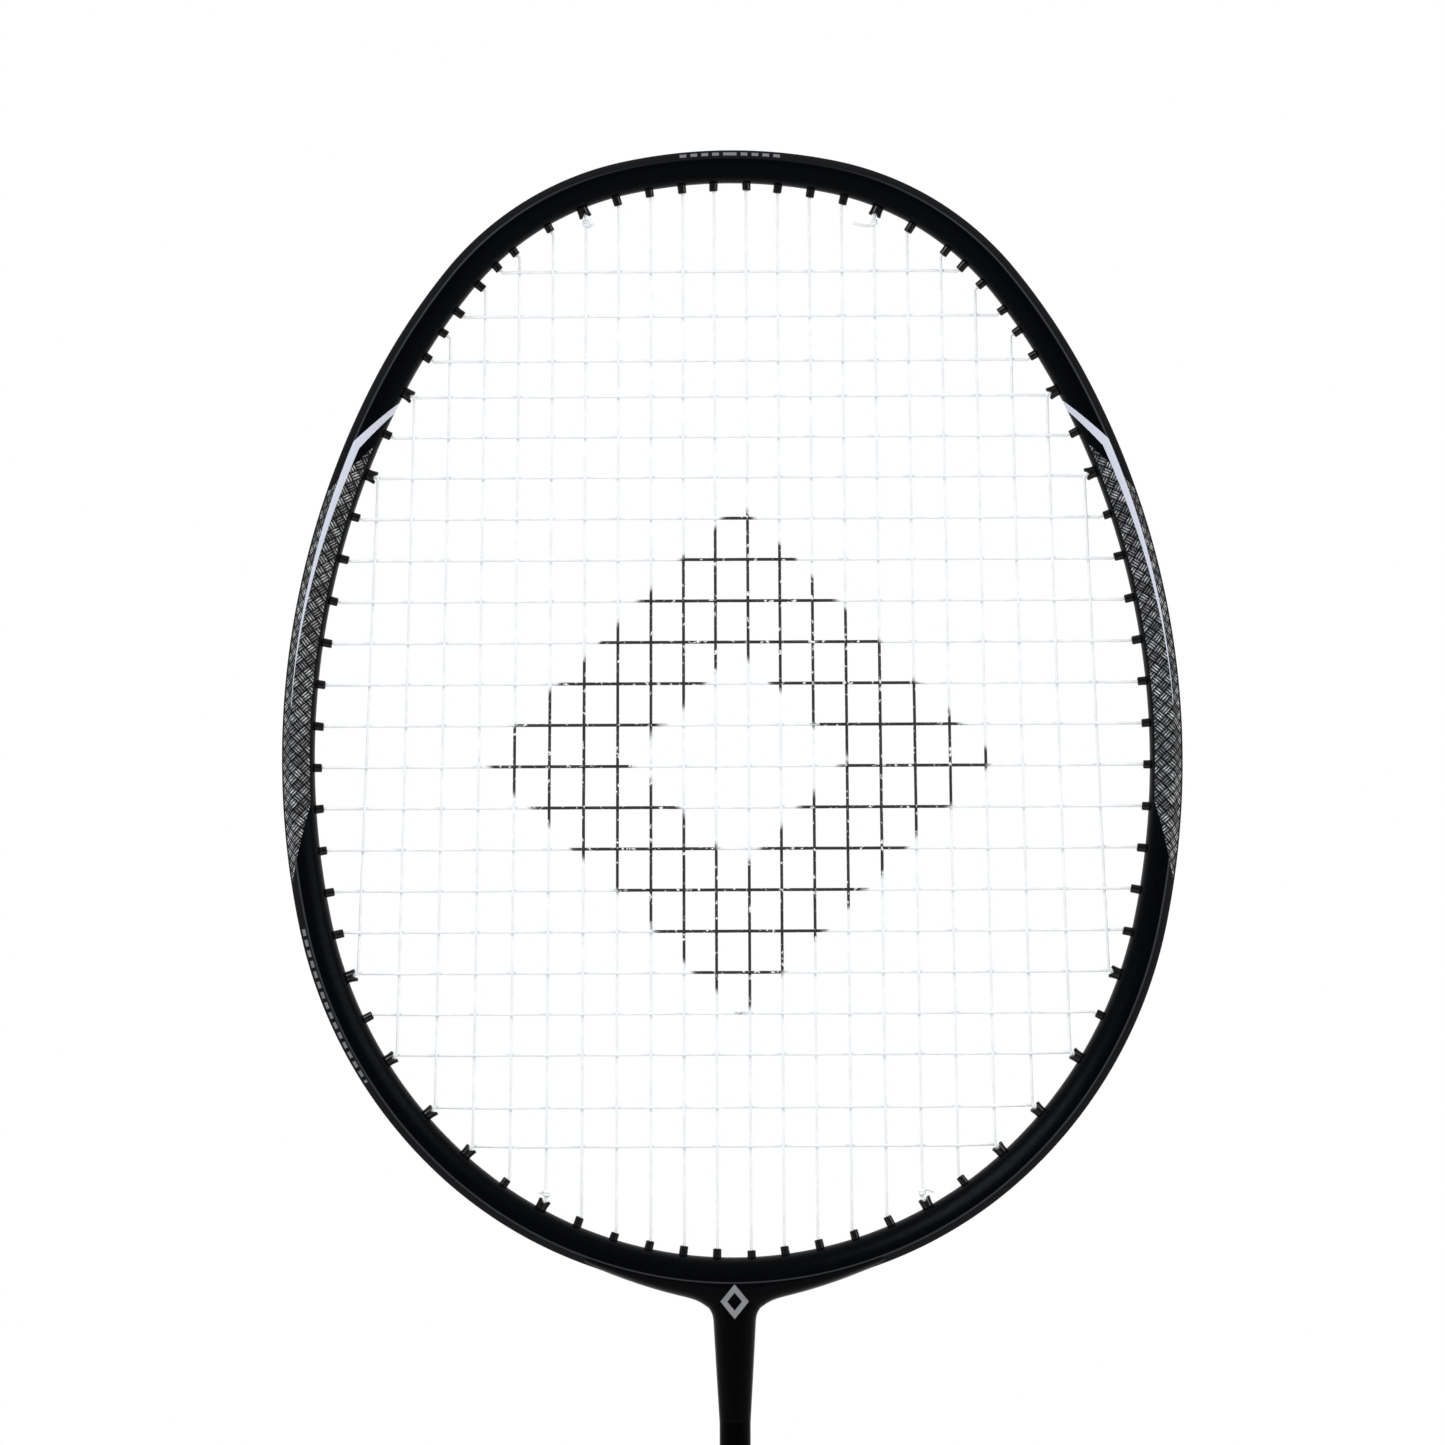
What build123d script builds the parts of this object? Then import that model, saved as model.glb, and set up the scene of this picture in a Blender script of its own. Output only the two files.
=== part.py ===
# Badminton racket, standing upright on its butt end with the head at the top.
# X runs across the string bed, Y is normal to it (the front faces -Y), Z runs along the shaft.
# The origin is the centre of the butt face. All sizes are in millimetres.
from build123d import *
import math
import os

# Overall sizes
total_length = 675.0
head_width = 201.8
shaft_diameter = 7.0
handle_length = 174.0

# Hoop: a hollow rim with a string channel in its outer side
rim_width = 7.3
rim_depth = 10.4
rim_wall = 0.95
ridge_inset = 1.9
bevel_lip = 2.6
shoulder_inset = 1.25       # where the rounded inner side passes into the flank
shoulder_share = 0.65       # depth of the rim there, over the greatest depth
flank_share = 0.885         # and halfway up the flank
cavity_share = 0.75
cavity_inner_share = 0.55
# Outer outline, from the top down one side: (radius over half the head width, turn in degrees).
# The last arc turns the rest of the way, and its radius brings the outline back to the centre line.
outline_arcs = [(1.159, 11.8), (0.692, 39.1), (1.458, 11.7), (1.831, 39.0), (1.040, 35.3)]

# Stringing
string_diameter = 0.70
weave_clearance = 0.02
channel_margin = 0.5        # free width and depth round the strings in the channel
lane_clearance = 0.05       # between strings that run side by side or one over the other in the channel
main_count = 11             # on each side of the centre line
main_gap = 3.77             # centre line to the first main
main_pitch = 7.4
main_pitch_growth = 0.07
top_fan = 0.97              # mains stand closer at the top of the head than at the throat
bottom_fan = 1.03
row_count = 22
top_row_pitch = 10.0
top_row_drop = 2.0          # the gap over the first shared row is that much less than the pitch
shared_top = {4: 10, 6: 11}                      # row: main that shares its hole, upper half
shared_bottom = {18: 11, 20: 10, 21: 9, 22: 8}   # row: main that shares its hole, lower half
top_tie_main = 5
bottom_tie_main = 6
strip_mains = 4

# Grommets
grommet_wall = 0.45
grommet_reach = 2.2         # how far a barrel stands out of the hoop's inner side
flange_thickness = 0.4
flange_margin = 0.3
press_clearance = 0.03
string_clearance = 0.2
bend_lead = 0.3             # a string turns towards its crossings that far past the grommet's mouth
tie_lead = 0.7              # and a tied end stops that far past it
turn_in = 1.9               # where a string reaches its lane, past its hole
channel_step = 12.0         # longest straight run in the channel
crossing_margin = 1.4       # least distance from a crossing to a grommet's mouth
knot_centre = 1.7
knot_pitch = 0.62
knot_clearance = 0.04
bell_flare = 0.45
lip_slot = 0.9
strip_margin = 2.6

# Throat, shaft and handle
throat_length = 30.5
throat_radius = 4.7
shaft_wall = 1.0
insert_clearance = 0.05
insert_leg = 60.0
insert_arm_turn = 5.6
insert_bite = 0.4           # how far the leg's head stands in the arms
saddle_depth = 8.5          # where the cone starts to flare, below the hoop
saddle_rise = 3.4           # how far its ends climb the hoop's sides
saddle_spread = 25.4
saddle_flare = [0.0, 0.006, 0.04, 0.16, 0.48, 0.78, 1.0]   # share of the spread reached at even steps up
saddle_thinning = 0.1
saddle_turn = 25.0
shaft_seat = 85.0
cone_length = 40.0
cone_top_wall = 0.9
cone_collar = 3.0           # straight part at the cone's foot
cone_overlap = 0.3          # how far the foot stands out past the core's corners
cone_waist = (0.42, 0.64)   # share of the cone's length, and its radius there over that of the foot
core_width = 22.6
core_depth = 20.4
core_bevel = 5.8
core_boss_radius = 9.0
core_boss_height = 6.0
grip_thickness = 1.7
grip_rounding = 2.0
tape_width = 11.0
tape_thickness = 0.3
cap_height = 15.0
cap_flare = 2.5             # how far the butt stands out past the grip
cap_floor = 3.0
cap_edge = 1.0              # bevel round the butt face
badge_radius = 8.0
badge_thickness = 1.0
badge_bevel = 0.15
staple_width = 9.0
staple_wire = 0.6
staple_leg = 5.0
staple_rise = 6.0           # first staple, above the butt cap
staple_pitch = 3.0

# Dependent sizes
half_rim = rim_width / 2
string_radius = string_diameter / 2
lane = string_diameter + 2 * lane_clearance
channel_half = lane + string_radius + channel_margin
channel_depth = flange_thickness + 2 * string_diameter + channel_margin
channel_floor = half_rim - channel_depth
flange_top = channel_floor + flange_thickness
lower_level = flange_top + string_radius + lane_clearance
upper_level = lower_level + string_diameter + lane_clearance
single_bore = string_radius + string_clearance
double_bore = string_diameter + 3 * lane_clearance
bore_lane = string_radius + weave_clearance
mouth = half_rim + grommet_reach
bend_point = mouth + bend_lead
weave_height = string_radius + weave_clearance
bore_shaft = shaft_diameter / 2 - shaft_wall
leg_radius = bore_shaft - insert_clearance
grip_width = core_width + 2 * grip_thickness
grip_depth = core_depth + 2 * grip_thickness
grip_bevel = core_bevel + 0.8 * grip_thickness


# The hoop's centre line, measured as a distance from its top: negative on the left, positive on the right
def build_outline():
    arcs = []
    centre_x = 0.0
    centre_z = total_length
    heading = 0.0
    previous = 0.0
    turns = outline_arcs + [(None, 180.0 - sum(turn for ratio, turn in outline_arcs))]
    for ratio, turn in turns:
        normal_x = math.sin(math.radians(heading))
        normal_z = math.cos(math.radians(heading))
        if ratio is None:
            outer_radius = previous + centre_x / normal_x
        else:
            outer_radius = ratio * head_width / 2
        centre_x += (previous - outer_radius) * normal_x
        centre_z += (previous - outer_radius) * normal_z
        radius = outer_radius - half_rim
        arcs.append((centre_x, centre_z, radius, heading, turn))
        heading += turn
        previous = outer_radius
    return arcs


rim_arcs = build_outline()
rim_length = sum(radius * math.radians(turn) for x, z, radius, start, turn in rim_arcs)


def rim_heading(distance):
    left = abs(distance)
    for x, z, radius, start, whole_turn in rim_arcs:
        turned = math.degrees(left / radius)
        if turned <= whole_turn or start + whole_turn > 179.9:
            break
        left -= radius * math.radians(whole_turn)
    return x, z, radius, start + min(turned, whole_turn)


def rim_point(distance, outward=0.0, across=0.0):
    x, z, radius, heading = rim_heading(distance)
    side = -1 if distance < 0 else 1
    angle = math.radians(heading)
    reach = radius + outward
    return Vector(side * (x + reach * math.sin(angle)), across, z + reach * math.cos(angle))


def rim_plane(distance):
    base = rim_point(distance)
    outward = rim_point(distance, 1.0) - base
    return Plane(origin=base, x_dir=(0, 1, 0), z_dir=outward)


def find_distance(low, high, measure, target):
    rising = measure(high) > measure(low)
    for step in range(40):
        middle = (low + high) / 2
        if (measure(middle) < target) == rising:
            low = middle
        else:
            high = middle
    return low


def hole_x(distance):
    return rim_point(distance, -half_rim).X


def mouth_z(distance):
    return rim_point(distance, -mouth).Z


# Hole places, as distances along the right half of the rim
def main_offset(number):
    steps = number - 1
    return main_gap + main_pitch * steps + main_pitch_growth * steps * (steps - 1)


widest = sum(radius * math.radians(turn) for x, z, radius, start, turn in rim_arcs[:3])
widest += rim_arcs[3][2] * math.radians(90.0 - rim_arcs[3][3])
mains = range(1, main_count + 1)
rows = range(1, row_count + 1)
main_top = {k: find_distance(0.0, widest, hole_x, top_fan * main_offset(k)) for k in mains}
main_bottom = {k: find_distance(widest, rim_length, hole_x, bottom_fan * main_offset(k)) for k in mains}

row_hole = {row: main_top[k] for row, k in shared_top.items()}
row_hole.update({row: main_bottom[k] for row, k in shared_bottom.items()})
row_height = {row: mouth_z(place) for row, place in row_hole.items()}
first_shared = min(row_height)
for row in range(1, first_shared):
    row_height[row] = row_height[first_shared] + (first_shared - row) * top_row_pitch - top_row_drop
fixed_rows = sorted(row_hole)
for above, below in zip(fixed_rows, fixed_rows[1:]):
    pitch = (row_height[above] - row_height[below]) / (below - above)
    for row in range(above + 1, below):
        row_height[row] = row_height[above] - (row - above) * pitch

# a row's own hole keeps a flange's room from the mains' holes
hole_room = single_bore + double_bore + 2 * (grommet_wall + flange_margin)
main_holes = list(main_top.values()) + list(main_bottom.values())
for row in rows:
    if row not in row_hole:
        place = find_distance(0.0, rim_length, mouth_z, row_height[row])
        nearest = min(main_holes, key=lambda hole: abs(hole - place))
        if abs(place - nearest) < hole_room:
            place = nearest + math.copysign(hole_room, place - nearest)
            row_height[row] = mouth_z(place)
        row_hole[row] = place

shared_mains_top = set(shared_top.values())
shared_mains_bottom = set(shared_bottom.values())
shared_rows = set(shared_top) | set(shared_bottom)


def both_sides(places):
    return [side * place for side in (-1, 1) for place in places]


top_single = [main_top[k] for k in mains if k not in shared_mains_top | {top_tie_main}]
strip_places = [main_bottom[k] for k in range(1, strip_mains + 1)]
bottom_single = [
    main_bottom[k] for k in mains if k > strip_mains and k not in shared_mains_bottom | {bottom_tie_main}
]
row_single = [row_hole[row] for row in rows if row not in shared_rows]
shared_places = [main_top[k] for k in shared_mains_top] + [main_bottom[k] for k in shared_mains_bottom]
tie_places = [main_top[top_tie_main], main_bottom[bottom_tie_main]]


# Rim profiles, drawn with local X outward from the hoop and local Y across its thickness
half_depth = rim_depth / 2
ridge = half_rim - ridge_inset
shoulder = half_rim - shoulder_inset


def rim_side_lines(sign):
    ThreePointArc(
        (-shoulder, sign * shoulder_share * half_depth),
        ((ridge - shoulder) / 2, sign * flank_share * half_depth),
        (ridge, sign * half_depth),
    )
    Line((ridge, sign * half_depth), (half_rim, sign * bevel_lip))


with BuildSketch() as rim_envelope:
    with BuildLine():
        ThreePointArc(
            (-shoulder, -shoulder_share * half_depth),
            (-half_rim, 0),
            (-shoulder, shoulder_share * half_depth),
        )
        rim_side_lines(1)
        rim_side_lines(-1)
        Line((half_rim, -bevel_lip), (half_rim, bevel_lip))
    make_face()

cavity_inner = half_rim - rim_wall
cavity_outer = channel_floor - rim_wall
cavity_bend = shoulder - 0.75 * rim_wall


def cavity_lines(gap):
    inner_height = cavity_inner_share * half_depth - gap
    outer_height = cavity_share * half_depth - gap
    ThreePointArc(
        (gap - cavity_bend, -inner_height),
        (gap - cavity_inner, 0),
        (gap - cavity_bend, inner_height),
    )
    Polyline(
        (gap - cavity_bend, inner_height),
        (cavity_outer - gap, outer_height),
        (cavity_outer - gap, -outer_height),
        (gap - cavity_bend, -inner_height),
    )


with BuildSketch() as rim_cavity:
    with BuildLine():
        cavity_lines(0.0)
    make_face()

with BuildSketch() as insert_profile:
    with BuildLine():
        cavity_lines(insert_clearance)
    make_face()

with BuildSketch() as rim_profile:
    add(rim_envelope.sketch)
    add(rim_cavity.sketch, mode=Mode.SUBTRACT)
    with Locations((half_rim, 0)):
        Rectangle(2 * channel_depth, 2 * channel_half, mode=Mode.SUBTRACT)


def arc_plane(arc, turn=0.0):
    x, z, radius, start, whole_turn = arc
    angle = math.radians(start + turn)
    outward = Vector(math.sin(angle), 0, math.cos(angle))
    along = Vector(math.cos(angle), 0, -math.sin(angle))
    return Plane(origin=Vector(x, 0, z) + outward * radius, x_dir=outward, z_dir=along)


def arc_axis(arc):
    return Axis((arc[0], 0, arc[1]), (0, 1, 0))


bottom_arc = rim_arcs[-1]
bottom_outer = rim_point(rim_length, half_rim).Z
throat_bottom = bottom_outer - throat_length
leg_bottom = bottom_outer - insert_leg
double_hole = double_bore + grommet_wall + press_clearance
single_hole = single_bore + grommet_wall + press_clearance
upward = (Align.CENTER, Align.CENTER, Align.MIN)
degrees_per_mm = 1 / math.radians(bottom_arc[2])
strip_start = (rim_length - strip_places[0] - single_hole - flange_margin) * degrees_per_mm
strip_end = (rim_length - strip_places[-1] + strip_margin) * degrees_per_mm
strip_turn = strip_end - strip_start
press_turn = press_clearance * degrees_per_mm

with BuildPart() as frame_hoop:
    for arc in rim_arcs:
        with BuildSketch(arc_plane(arc)):
            add(rim_profile.sketch)
        revolve(axis=arc_axis(arc), revolution_arc=arc[4])
    mirror(about=Plane.YZ)
    single_places = both_sides(top_single + strip_places + bottom_single + row_single)
    with Locations(*[rim_plane(place) for place in single_places]):
        Cylinder(single_hole, 4 * rim_width, mode=Mode.SUBTRACT)
    with Locations(*[rim_plane(place) for place in both_sides(shared_places + tie_places)]):
        Cylinder(double_hole, 4 * rim_width, mode=Mode.SUBTRACT)
    with Locations(rim_plane(rim_length).offset(half_rim)):
        Cylinder(bore_shaft, 2 * (half_rim - cavity_outer + insert_bite), mode=Mode.SUBTRACT)

# Tee that lies in the bottom of the hoop and runs down into the shaft
with BuildPart() as t_insert:
    for direction in (1, -1):
        with BuildSketch(arc_plane(bottom_arc, bottom_arc[4])):
            add(insert_profile.sketch)
        revolve(axis=arc_axis(bottom_arc), revolution_arc=direction * insert_arm_turn)
    with Locations((0, 0, leg_bottom)):
        Cylinder(leg_radius, bottom_outer + half_rim - cavity_outer + insert_bite - leg_bottom, align=upward)
    with Locations(*[rim_plane(place) for place in both_sides(strip_places)]):
        Cylinder(single_hole, 4 * rim_width, mode=Mode.SUBTRACT)
    # room for the flanges of the throat strips
    for side in (1, -1):
        with BuildSketch(arc_plane(bottom_arc, bottom_arc[4] - side * (strip_start - press_turn))):
            with Locations(((channel_floor + flange_top) / 2, 0)):
                Rectangle(flange_thickness + 2 * press_clearance, 2 * channel_half)
        revolve(axis=arc_axis(bottom_arc), revolution_arc=-side * strip_turn, mode=Mode.SUBTRACT)

# Throat: a cone on the shaft's end that flares into a saddle under the hoop
with BuildPart() as throat_joint:
    with BuildSketch(Plane.XZ):
        Polygon(
            (0, throat_bottom),
            (shaft_diameter / 2, throat_bottom),
            (throat_radius, bottom_outer - saddle_depth),
            (0, bottom_outer - saddle_depth),
            align=None,
        )
    revolve(axis=Axis.Z)
    for step, flare in enumerate(saddle_flare):
        rise = step / (len(saddle_flare) - 1)
        spread = throat_radius + (saddle_spread - throat_radius) * flare
        with BuildSketch(Plane.XY.offset(bottom_outer - saddle_depth + rise * (saddle_depth + saddle_rise))):
            Ellipse(spread, throat_radius * (1 - saddle_thinning * rise))
    loft()
    for direction in (1, -1):
        with BuildSketch(arc_plane(bottom_arc, bottom_arc[4])):
            add(rim_envelope.sketch)
            with Locations((-half_rim, 0)):
                Rectangle(rim_width, 2 * rim_depth)
        revolve(
            axis=arc_axis(bottom_arc),
            revolution_arc=direction * saddle_turn,
            mode=Mode.SUBTRACT,
        )
    with Locations((0, 0, throat_bottom)):
        Cylinder(bore_shaft, 2 * throat_length, align=upward, mode=Mode.SUBTRACT)

# Shaft, from its seat in the handle to the throat
with BuildPart() as shaft:
    with BuildSketch(Plane.XY.offset(handle_length - shaft_seat)):
        Circle(shaft_diameter / 2)
        Circle(bore_shaft, mode=Mode.SUBTRACT)
    extrude(amount=throat_bottom - handle_length + shaft_seat)


# Handle: an octagonal core, the cone above it, the grip, its finishing tape and the butt cap
def octagon(width, depth, bevel, mode=Mode.ADD):
    side_y = depth / 2 - bevel
    face_x = width / 2 - bevel
    half = [(width / 2, -side_y), (width / 2, side_y), (face_x, depth / 2), (-face_x, depth / 2)]
    Polygon(*half, *[(-x, -y) for x, y in half], align=None, mode=mode)


with BuildPart() as grip_staples:
    for height in (cap_height + staple_rise, cap_height + staple_rise + staple_pitch):
        with Locations((0, core_depth / 2, height)):
            Box(staple_width, staple_wire, staple_wire, align=(Align.CENTER, Align.MIN, Align.CENTER))
        leg_x = (staple_width - staple_wire) / 2
        with Locations((-leg_x, core_depth / 2, height), (leg_x, core_depth / 2, height)):
            Box(staple_wire, staple_leg, staple_wire, align=(Align.CENTER, Align.MAX, Align.CENTER))

with BuildPart() as handle_core:
    with BuildSketch(Plane.XY.offset(cap_floor)):
        octagon(core_width, core_depth, core_bevel)
    extrude(amount=handle_length - cap_floor)
    with Locations((0, 0, handle_length)):
        Cylinder(core_boss_radius, core_boss_height, align=upward)
    with Locations((0, 0, handle_length - shaft_seat)):
        Cylinder(shaft_diameter / 2, 2 * shaft_seat, align=upward, mode=Mode.SUBTRACT)
    add(grip_staples.part, mode=Mode.SUBTRACT)

cone_base_radius = math.hypot(core_width / 2, core_depth / 2 - core_bevel) + cone_overlap
cone_top_radius = shaft_diameter / 2 + cone_top_wall
cone_top = handle_length + cone_length
with BuildPart() as handle_cone:
    with BuildSketch(Plane.XZ):
        with BuildLine():
            Polyline(
                (cone_top_radius, cone_top),
                (shaft_diameter / 2, cone_top),
                (shaft_diameter / 2, handle_length + core_boss_height),
                (core_boss_radius, handle_length + core_boss_height),
                (core_boss_radius, handle_length),
                (cone_base_radius, handle_length),
                (cone_base_radius, handle_length + cone_collar),
            )
            Spline(
                (cone_base_radius, handle_length + cone_collar),
                (cone_waist[1] * cone_base_radius, handle_length + cone_waist[0] * cone_length),
                (cone_top_radius, cone_top),
                tangents=[(-0.15, 1), (-0.03, 1)],
            )
        make_face()
    revolve(axis=Axis.Z)

with BuildPart() as grip_wrap:
    with BuildSketch(Plane.XY.offset(cap_height)) as grip_section:
        octagon(grip_width, grip_depth, grip_bevel)
        fillet(grip_section.vertices(), grip_rounding)
        octagon(core_width, core_depth, core_bevel, mode=Mode.SUBTRACT)
    extrude(amount=handle_length - cap_height)
    add(grip_staples.part, mode=Mode.SUBTRACT)

with BuildPart() as finishing_tape:
    with BuildSketch(Plane.XY.offset(handle_length - tape_width)) as tape_section:
        octagon(grip_width, grip_depth, grip_bevel)
        fillet(tape_section.vertices(), grip_rounding)
        tape_inside = tape_section.face()
        offset(amount=tape_thickness)
        add(tape_inside, mode=Mode.SUBTRACT)
    extrude(amount=tape_width)

# Butt cap outline, as (height, how far it stands out past the grip)
cap_stations = [
    (0.0, cap_flare - cap_edge),
    (cap_edge, cap_flare),
    (cap_height / 3, cap_flare),
    (cap_height, 0.0),
]
with BuildPart() as butt_cap:
    for height, flare in cap_stations:
        with BuildSketch(Plane.XY.offset(height)) as cap_section:
            octagon(grip_width + 2 * flare, grip_depth + 2 * flare, grip_bevel + 0.6 * flare)
            fillet(cap_section.vertices(), grip_rounding + flare)
    loft(ruled=True)
    with BuildSketch(Plane.XY.offset(cap_floor)):
        octagon(core_width, core_depth, core_bevel)
    extrude(amount=cap_height, mode=Mode.SUBTRACT)
    Cylinder(badge_radius + press_clearance, badge_thickness, align=upward, mode=Mode.SUBTRACT)

with BuildPart() as butt_badge:
    Cylinder(badge_radius, badge_thickness, align=upward)
    chamfer(butt_badge.edges().group_by(Axis.Z)[0], badge_bevel)


# Grommets. Each pattern has its axis along Z, pointing outward, with the rim's centre line at Z = 0.
single_barrel = single_bore + grommet_wall
double_barrel = double_bore + grommet_wall

with BuildPart() as single_grommet:
    with BuildSketch(Plane.XZ):
        with BuildLine():
            Polyline(
                (single_bore, -mouth),
                (single_bore + 0.5 * grommet_wall, -mouth),
                (single_barrel, -half_rim),
                (single_barrel, channel_floor),
                (single_hole + flange_margin, channel_floor),
                (single_hole + flange_margin, flange_top),
                (single_bore, flange_top),
                close=True,
            )
        make_face()
    revolve(axis=Axis.Z)

with BuildPart() as double_grommet:
    with BuildSketch(Plane.XZ):
        with BuildLine():
            Polyline(
                (double_bore + bell_flare, -mouth),
                (double_barrel + bell_flare, -mouth),
                (double_barrel, -half_rim),
                (double_barrel, channel_floor),
                (double_hole + flange_margin, channel_floor),
                (double_hole + flange_margin, flange_top),
                (double_bore, flange_top),
                (double_bore, -half_rim - bend_lead),
                close=True,
            )
        make_face()
    revolve(axis=Axis.Z)
    with Locations((0, 0, -mouth)):
        Box(2 * double_bore, 4 * double_barrel, 2 * lip_slot, mode=Mode.SUBTRACT)


def grommet_set(pattern, places):
    with BuildPart() as group:
        with Locations(*[rim_plane(place) for place in places]):
            add(pattern.part)
    return group


top_grommets = grommet_set(single_grommet, both_sides(top_single))
bottom_grommets = grommet_set(single_grommet, both_sides(bottom_single))
left_grommets = grommet_set(single_grommet, [-place for place in row_single])
right_grommets = grommet_set(single_grommet, row_single)
shared_grommets_left = grommet_set(double_grommet, [-place for place in shared_places])
shared_grommets_right = grommet_set(double_grommet, shared_places)
tie_off_grommets = grommet_set(double_grommet, both_sides(tie_places))

# Strips beside the throat: a plate in the channel with four barrels
def strip_part(side):
    with BuildPart() as strip:
        with BuildSketch(arc_plane(bottom_arc, bottom_arc[4] - side * strip_start)):
            with Locations(((channel_floor + flange_top) / 2, 0)):
                Rectangle(flange_thickness, 2 * (channel_half - lane_clearance))
        revolve(axis=arc_axis(bottom_arc), revolution_arc=-side * strip_turn)
        with Locations(*[rim_plane(side * place) for place in strip_places]):
            add(single_grommet.part)
            Cylinder(single_bore, 4 * rim_width, mode=Mode.SUBTRACT)
    return strip


throat_strip_right = strip_part(1)
throat_strip_left = strip_part(-1)


# Strings. A route is a list of (point, slack): slack is how far a rounded bend may cut inside its point,
# and None leaves the point sharp.
bore_slack = 0.7 * string_clearance
bend_share = 0.45


def string_wire(route):
    edges = []
    start = route[0][0]
    for (before, _), (corner, slack), (after, _) in zip(route, route[1:], route[2:]):
        if slack is None:
            edges.append(Edge.make_line(start, corner))
            start = corner
            continue
        arrive = corner - before
        leave = after - corner
        half_turn = math.radians(arrive.get_angle(leave)) / 2
        cut_in = 1 / math.cos(half_turn) - 1
        reach = min(bend_share * min(arrive.length, leave.length), slack * math.tan(half_turn) / cut_in)
        entry = corner - arrive.normalized() * reach
        leaving = corner + leave.normalized() * reach
        inward = (leave.normalized() - arrive.normalized()).normalized()
        middle = corner + inward * (cut_in * reach / math.tan(half_turn))
        edges.append(Edge.make_line(start, entry))
        edges.append(Edge.make_three_point_arc(entry, middle, leaving))
        start = leaving
    edges.append(Edge.make_line(start, route[-1][0]))
    return Wire(edges)


def string_part(route):
    path = string_wire(route)
    with BuildPart() as string:
        with BuildSketch(Plane(origin=path @ 0, z_dir=path % 0)):
            Circle(string_radius)
        sweep(path=path, transition=Transition.RIGHT)
    print("string length", round(path.length, 1))
    return string


double_places = set(shared_places + tie_places)


# family is -1 for the mains, which keep to the front of the channel, and 1 for the crosses
def bore_across(place, family):
    return family * bore_lane if abs(place) in double_places else 0.0


def channel_run(start, end, family, level, start_across, end_across):
    direction = 1 if end > start else -1
    first = start + direction * turn_in
    last = end - direction * turn_in
    count = max(1, math.ceil(abs(last - first) / channel_step))
    run = [(rim_point(start, level, start_across), math.inf)]
    for step in range(count + 1):
        slack = math.inf if step in (0, count) else None
        run.append((rim_point(first + (last - first) * step / count, level, family * lane), slack))
    run.append((rim_point(end, level, end_across), math.inf))
    return run


def bend_at(place, across):
    return rim_point(place, -bend_point, across)


def main_ends(side, number):
    top = bend_at(side * main_top[number], bore_across(main_top[number], -1))
    bottom = bend_at(side * main_bottom[number], bore_across(main_bottom[number], -1))
    return top, bottom


columns = [(-1, k) for k in reversed(mains)] + [(1, k) for k in mains]


def crossing(column, row):
    side, number = columns[column]
    top, bottom = main_ends(side, number)
    height = row_height[row]
    share = (top.Z - height) / (top.Z - bottom.Z)
    x = top.X + share * (bottom.X - top.X)
    reach = abs(bend_at(row_hole[row], 0).X)
    clear_of_ends = bottom.Z + crossing_margin < height < top.Z - crossing_margin
    front = 1 if (column + row) % 2 else -1
    if clear_of_ends and abs(x) < reach - crossing_margin:
        return Vector(x, front * weave_height, height)
    return None


main_route = []
tie = -main_bottom[bottom_tie_main]
loop_start = tie
for column, (side, number) in enumerate(columns):
    upward_run = column % 2 == 0
    entered = main_bottom if upward_run else main_top
    left_by = main_top if upward_run else main_bottom
    place = side * entered[number]
    if column == 0:
        main_route.append((rim_point(tie, -bend_point - tie_lead, bore_lane), None))
        main_route += channel_run(tie, place, -1, upper_level, bore_lane, bore_across(place, -1))
    else:
        main_route += channel_run(
            loop_start, place, -1, lower_level, bore_across(loop_start, -1), bore_across(place, -1)
        )
    top, bottom = main_ends(side, number)
    run = [crossing(column, row) for row in rows]
    inner = [(top, bore_slack)] + [(point, None) for point in run if point] + [(bottom, bore_slack)]
    main_route += reversed(inner) if upward_run else inner
    loop_start = side * left_by[number]
tie = main_bottom[bottom_tie_main]
main_route += channel_run(loop_start, tie, -1, upper_level, bore_across(loop_start, -1), bore_lane)
main_route.append((rim_point(tie, -bend_point - tie_lead, bore_lane), None))

cross_route = []
tie = main_top[top_tie_main]
cross_route.append((rim_point(tie, -bend_point - tie_lead, bore_lane), None))
loop_start = tie
for row in rows:
    side = 1 if row % 2 else -1
    place = row_hole[row]
    across = bore_across(place, 1)
    start_across = bore_lane if row == 1 else bore_across(loop_start, 1)
    cross_route += channel_run(loop_start, side * place, 1, lower_level, start_across, across)
    run = [crossing(column, row) for column in range(len(columns))]
    inner = [bend_at(-place, across)]
    inner += [Vector(point.X, -point.Y, point.Z) for point in run if point]
    inner += [bend_at(place, across)]
    marked = [(point, None) for point in inner]
    marked[0] = (inner[0], bore_slack)
    marked[-1] = (inner[-1], bore_slack)
    cross_route += reversed(marked) if side == 1 else marked
    loop_start = -side * place
cross_route += channel_run(loop_start, -tie, 1, upper_level, bore_across(loop_start, 1), bore_lane)
cross_route.append((rim_point(-tie, -bend_point - tie_lead, bore_lane), None))

main_string = string_part(main_route)
cross_string = string_part(cross_route)


# Tie-off knots: three wraps round the neighbouring main, where the string's end comes in
def knot_set(holes, number, near_end):
    with BuildPart() as knots:
        for side in (-1, 1):
            column = columns.index((side, number))
            start = main_ends(side, number)[near_end]
            points = [crossing(column, row) for row in rows]
            nearest = [point for point in points if point][-near_end]
            along = (nearest - start).normalized()
            for wrap in (-1, 0, 1):
                with Locations(Plane(origin=start + along * (knot_centre + wrap * knot_pitch), z_dir=along)):
                    Torus(string_diameter + knot_clearance, string_radius)
    return knots


main_string_knots = knot_set(main_bottom, bottom_tie_main, 1)
cross_string_knots = knot_set(main_top, top_tie_main, 0)

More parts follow.
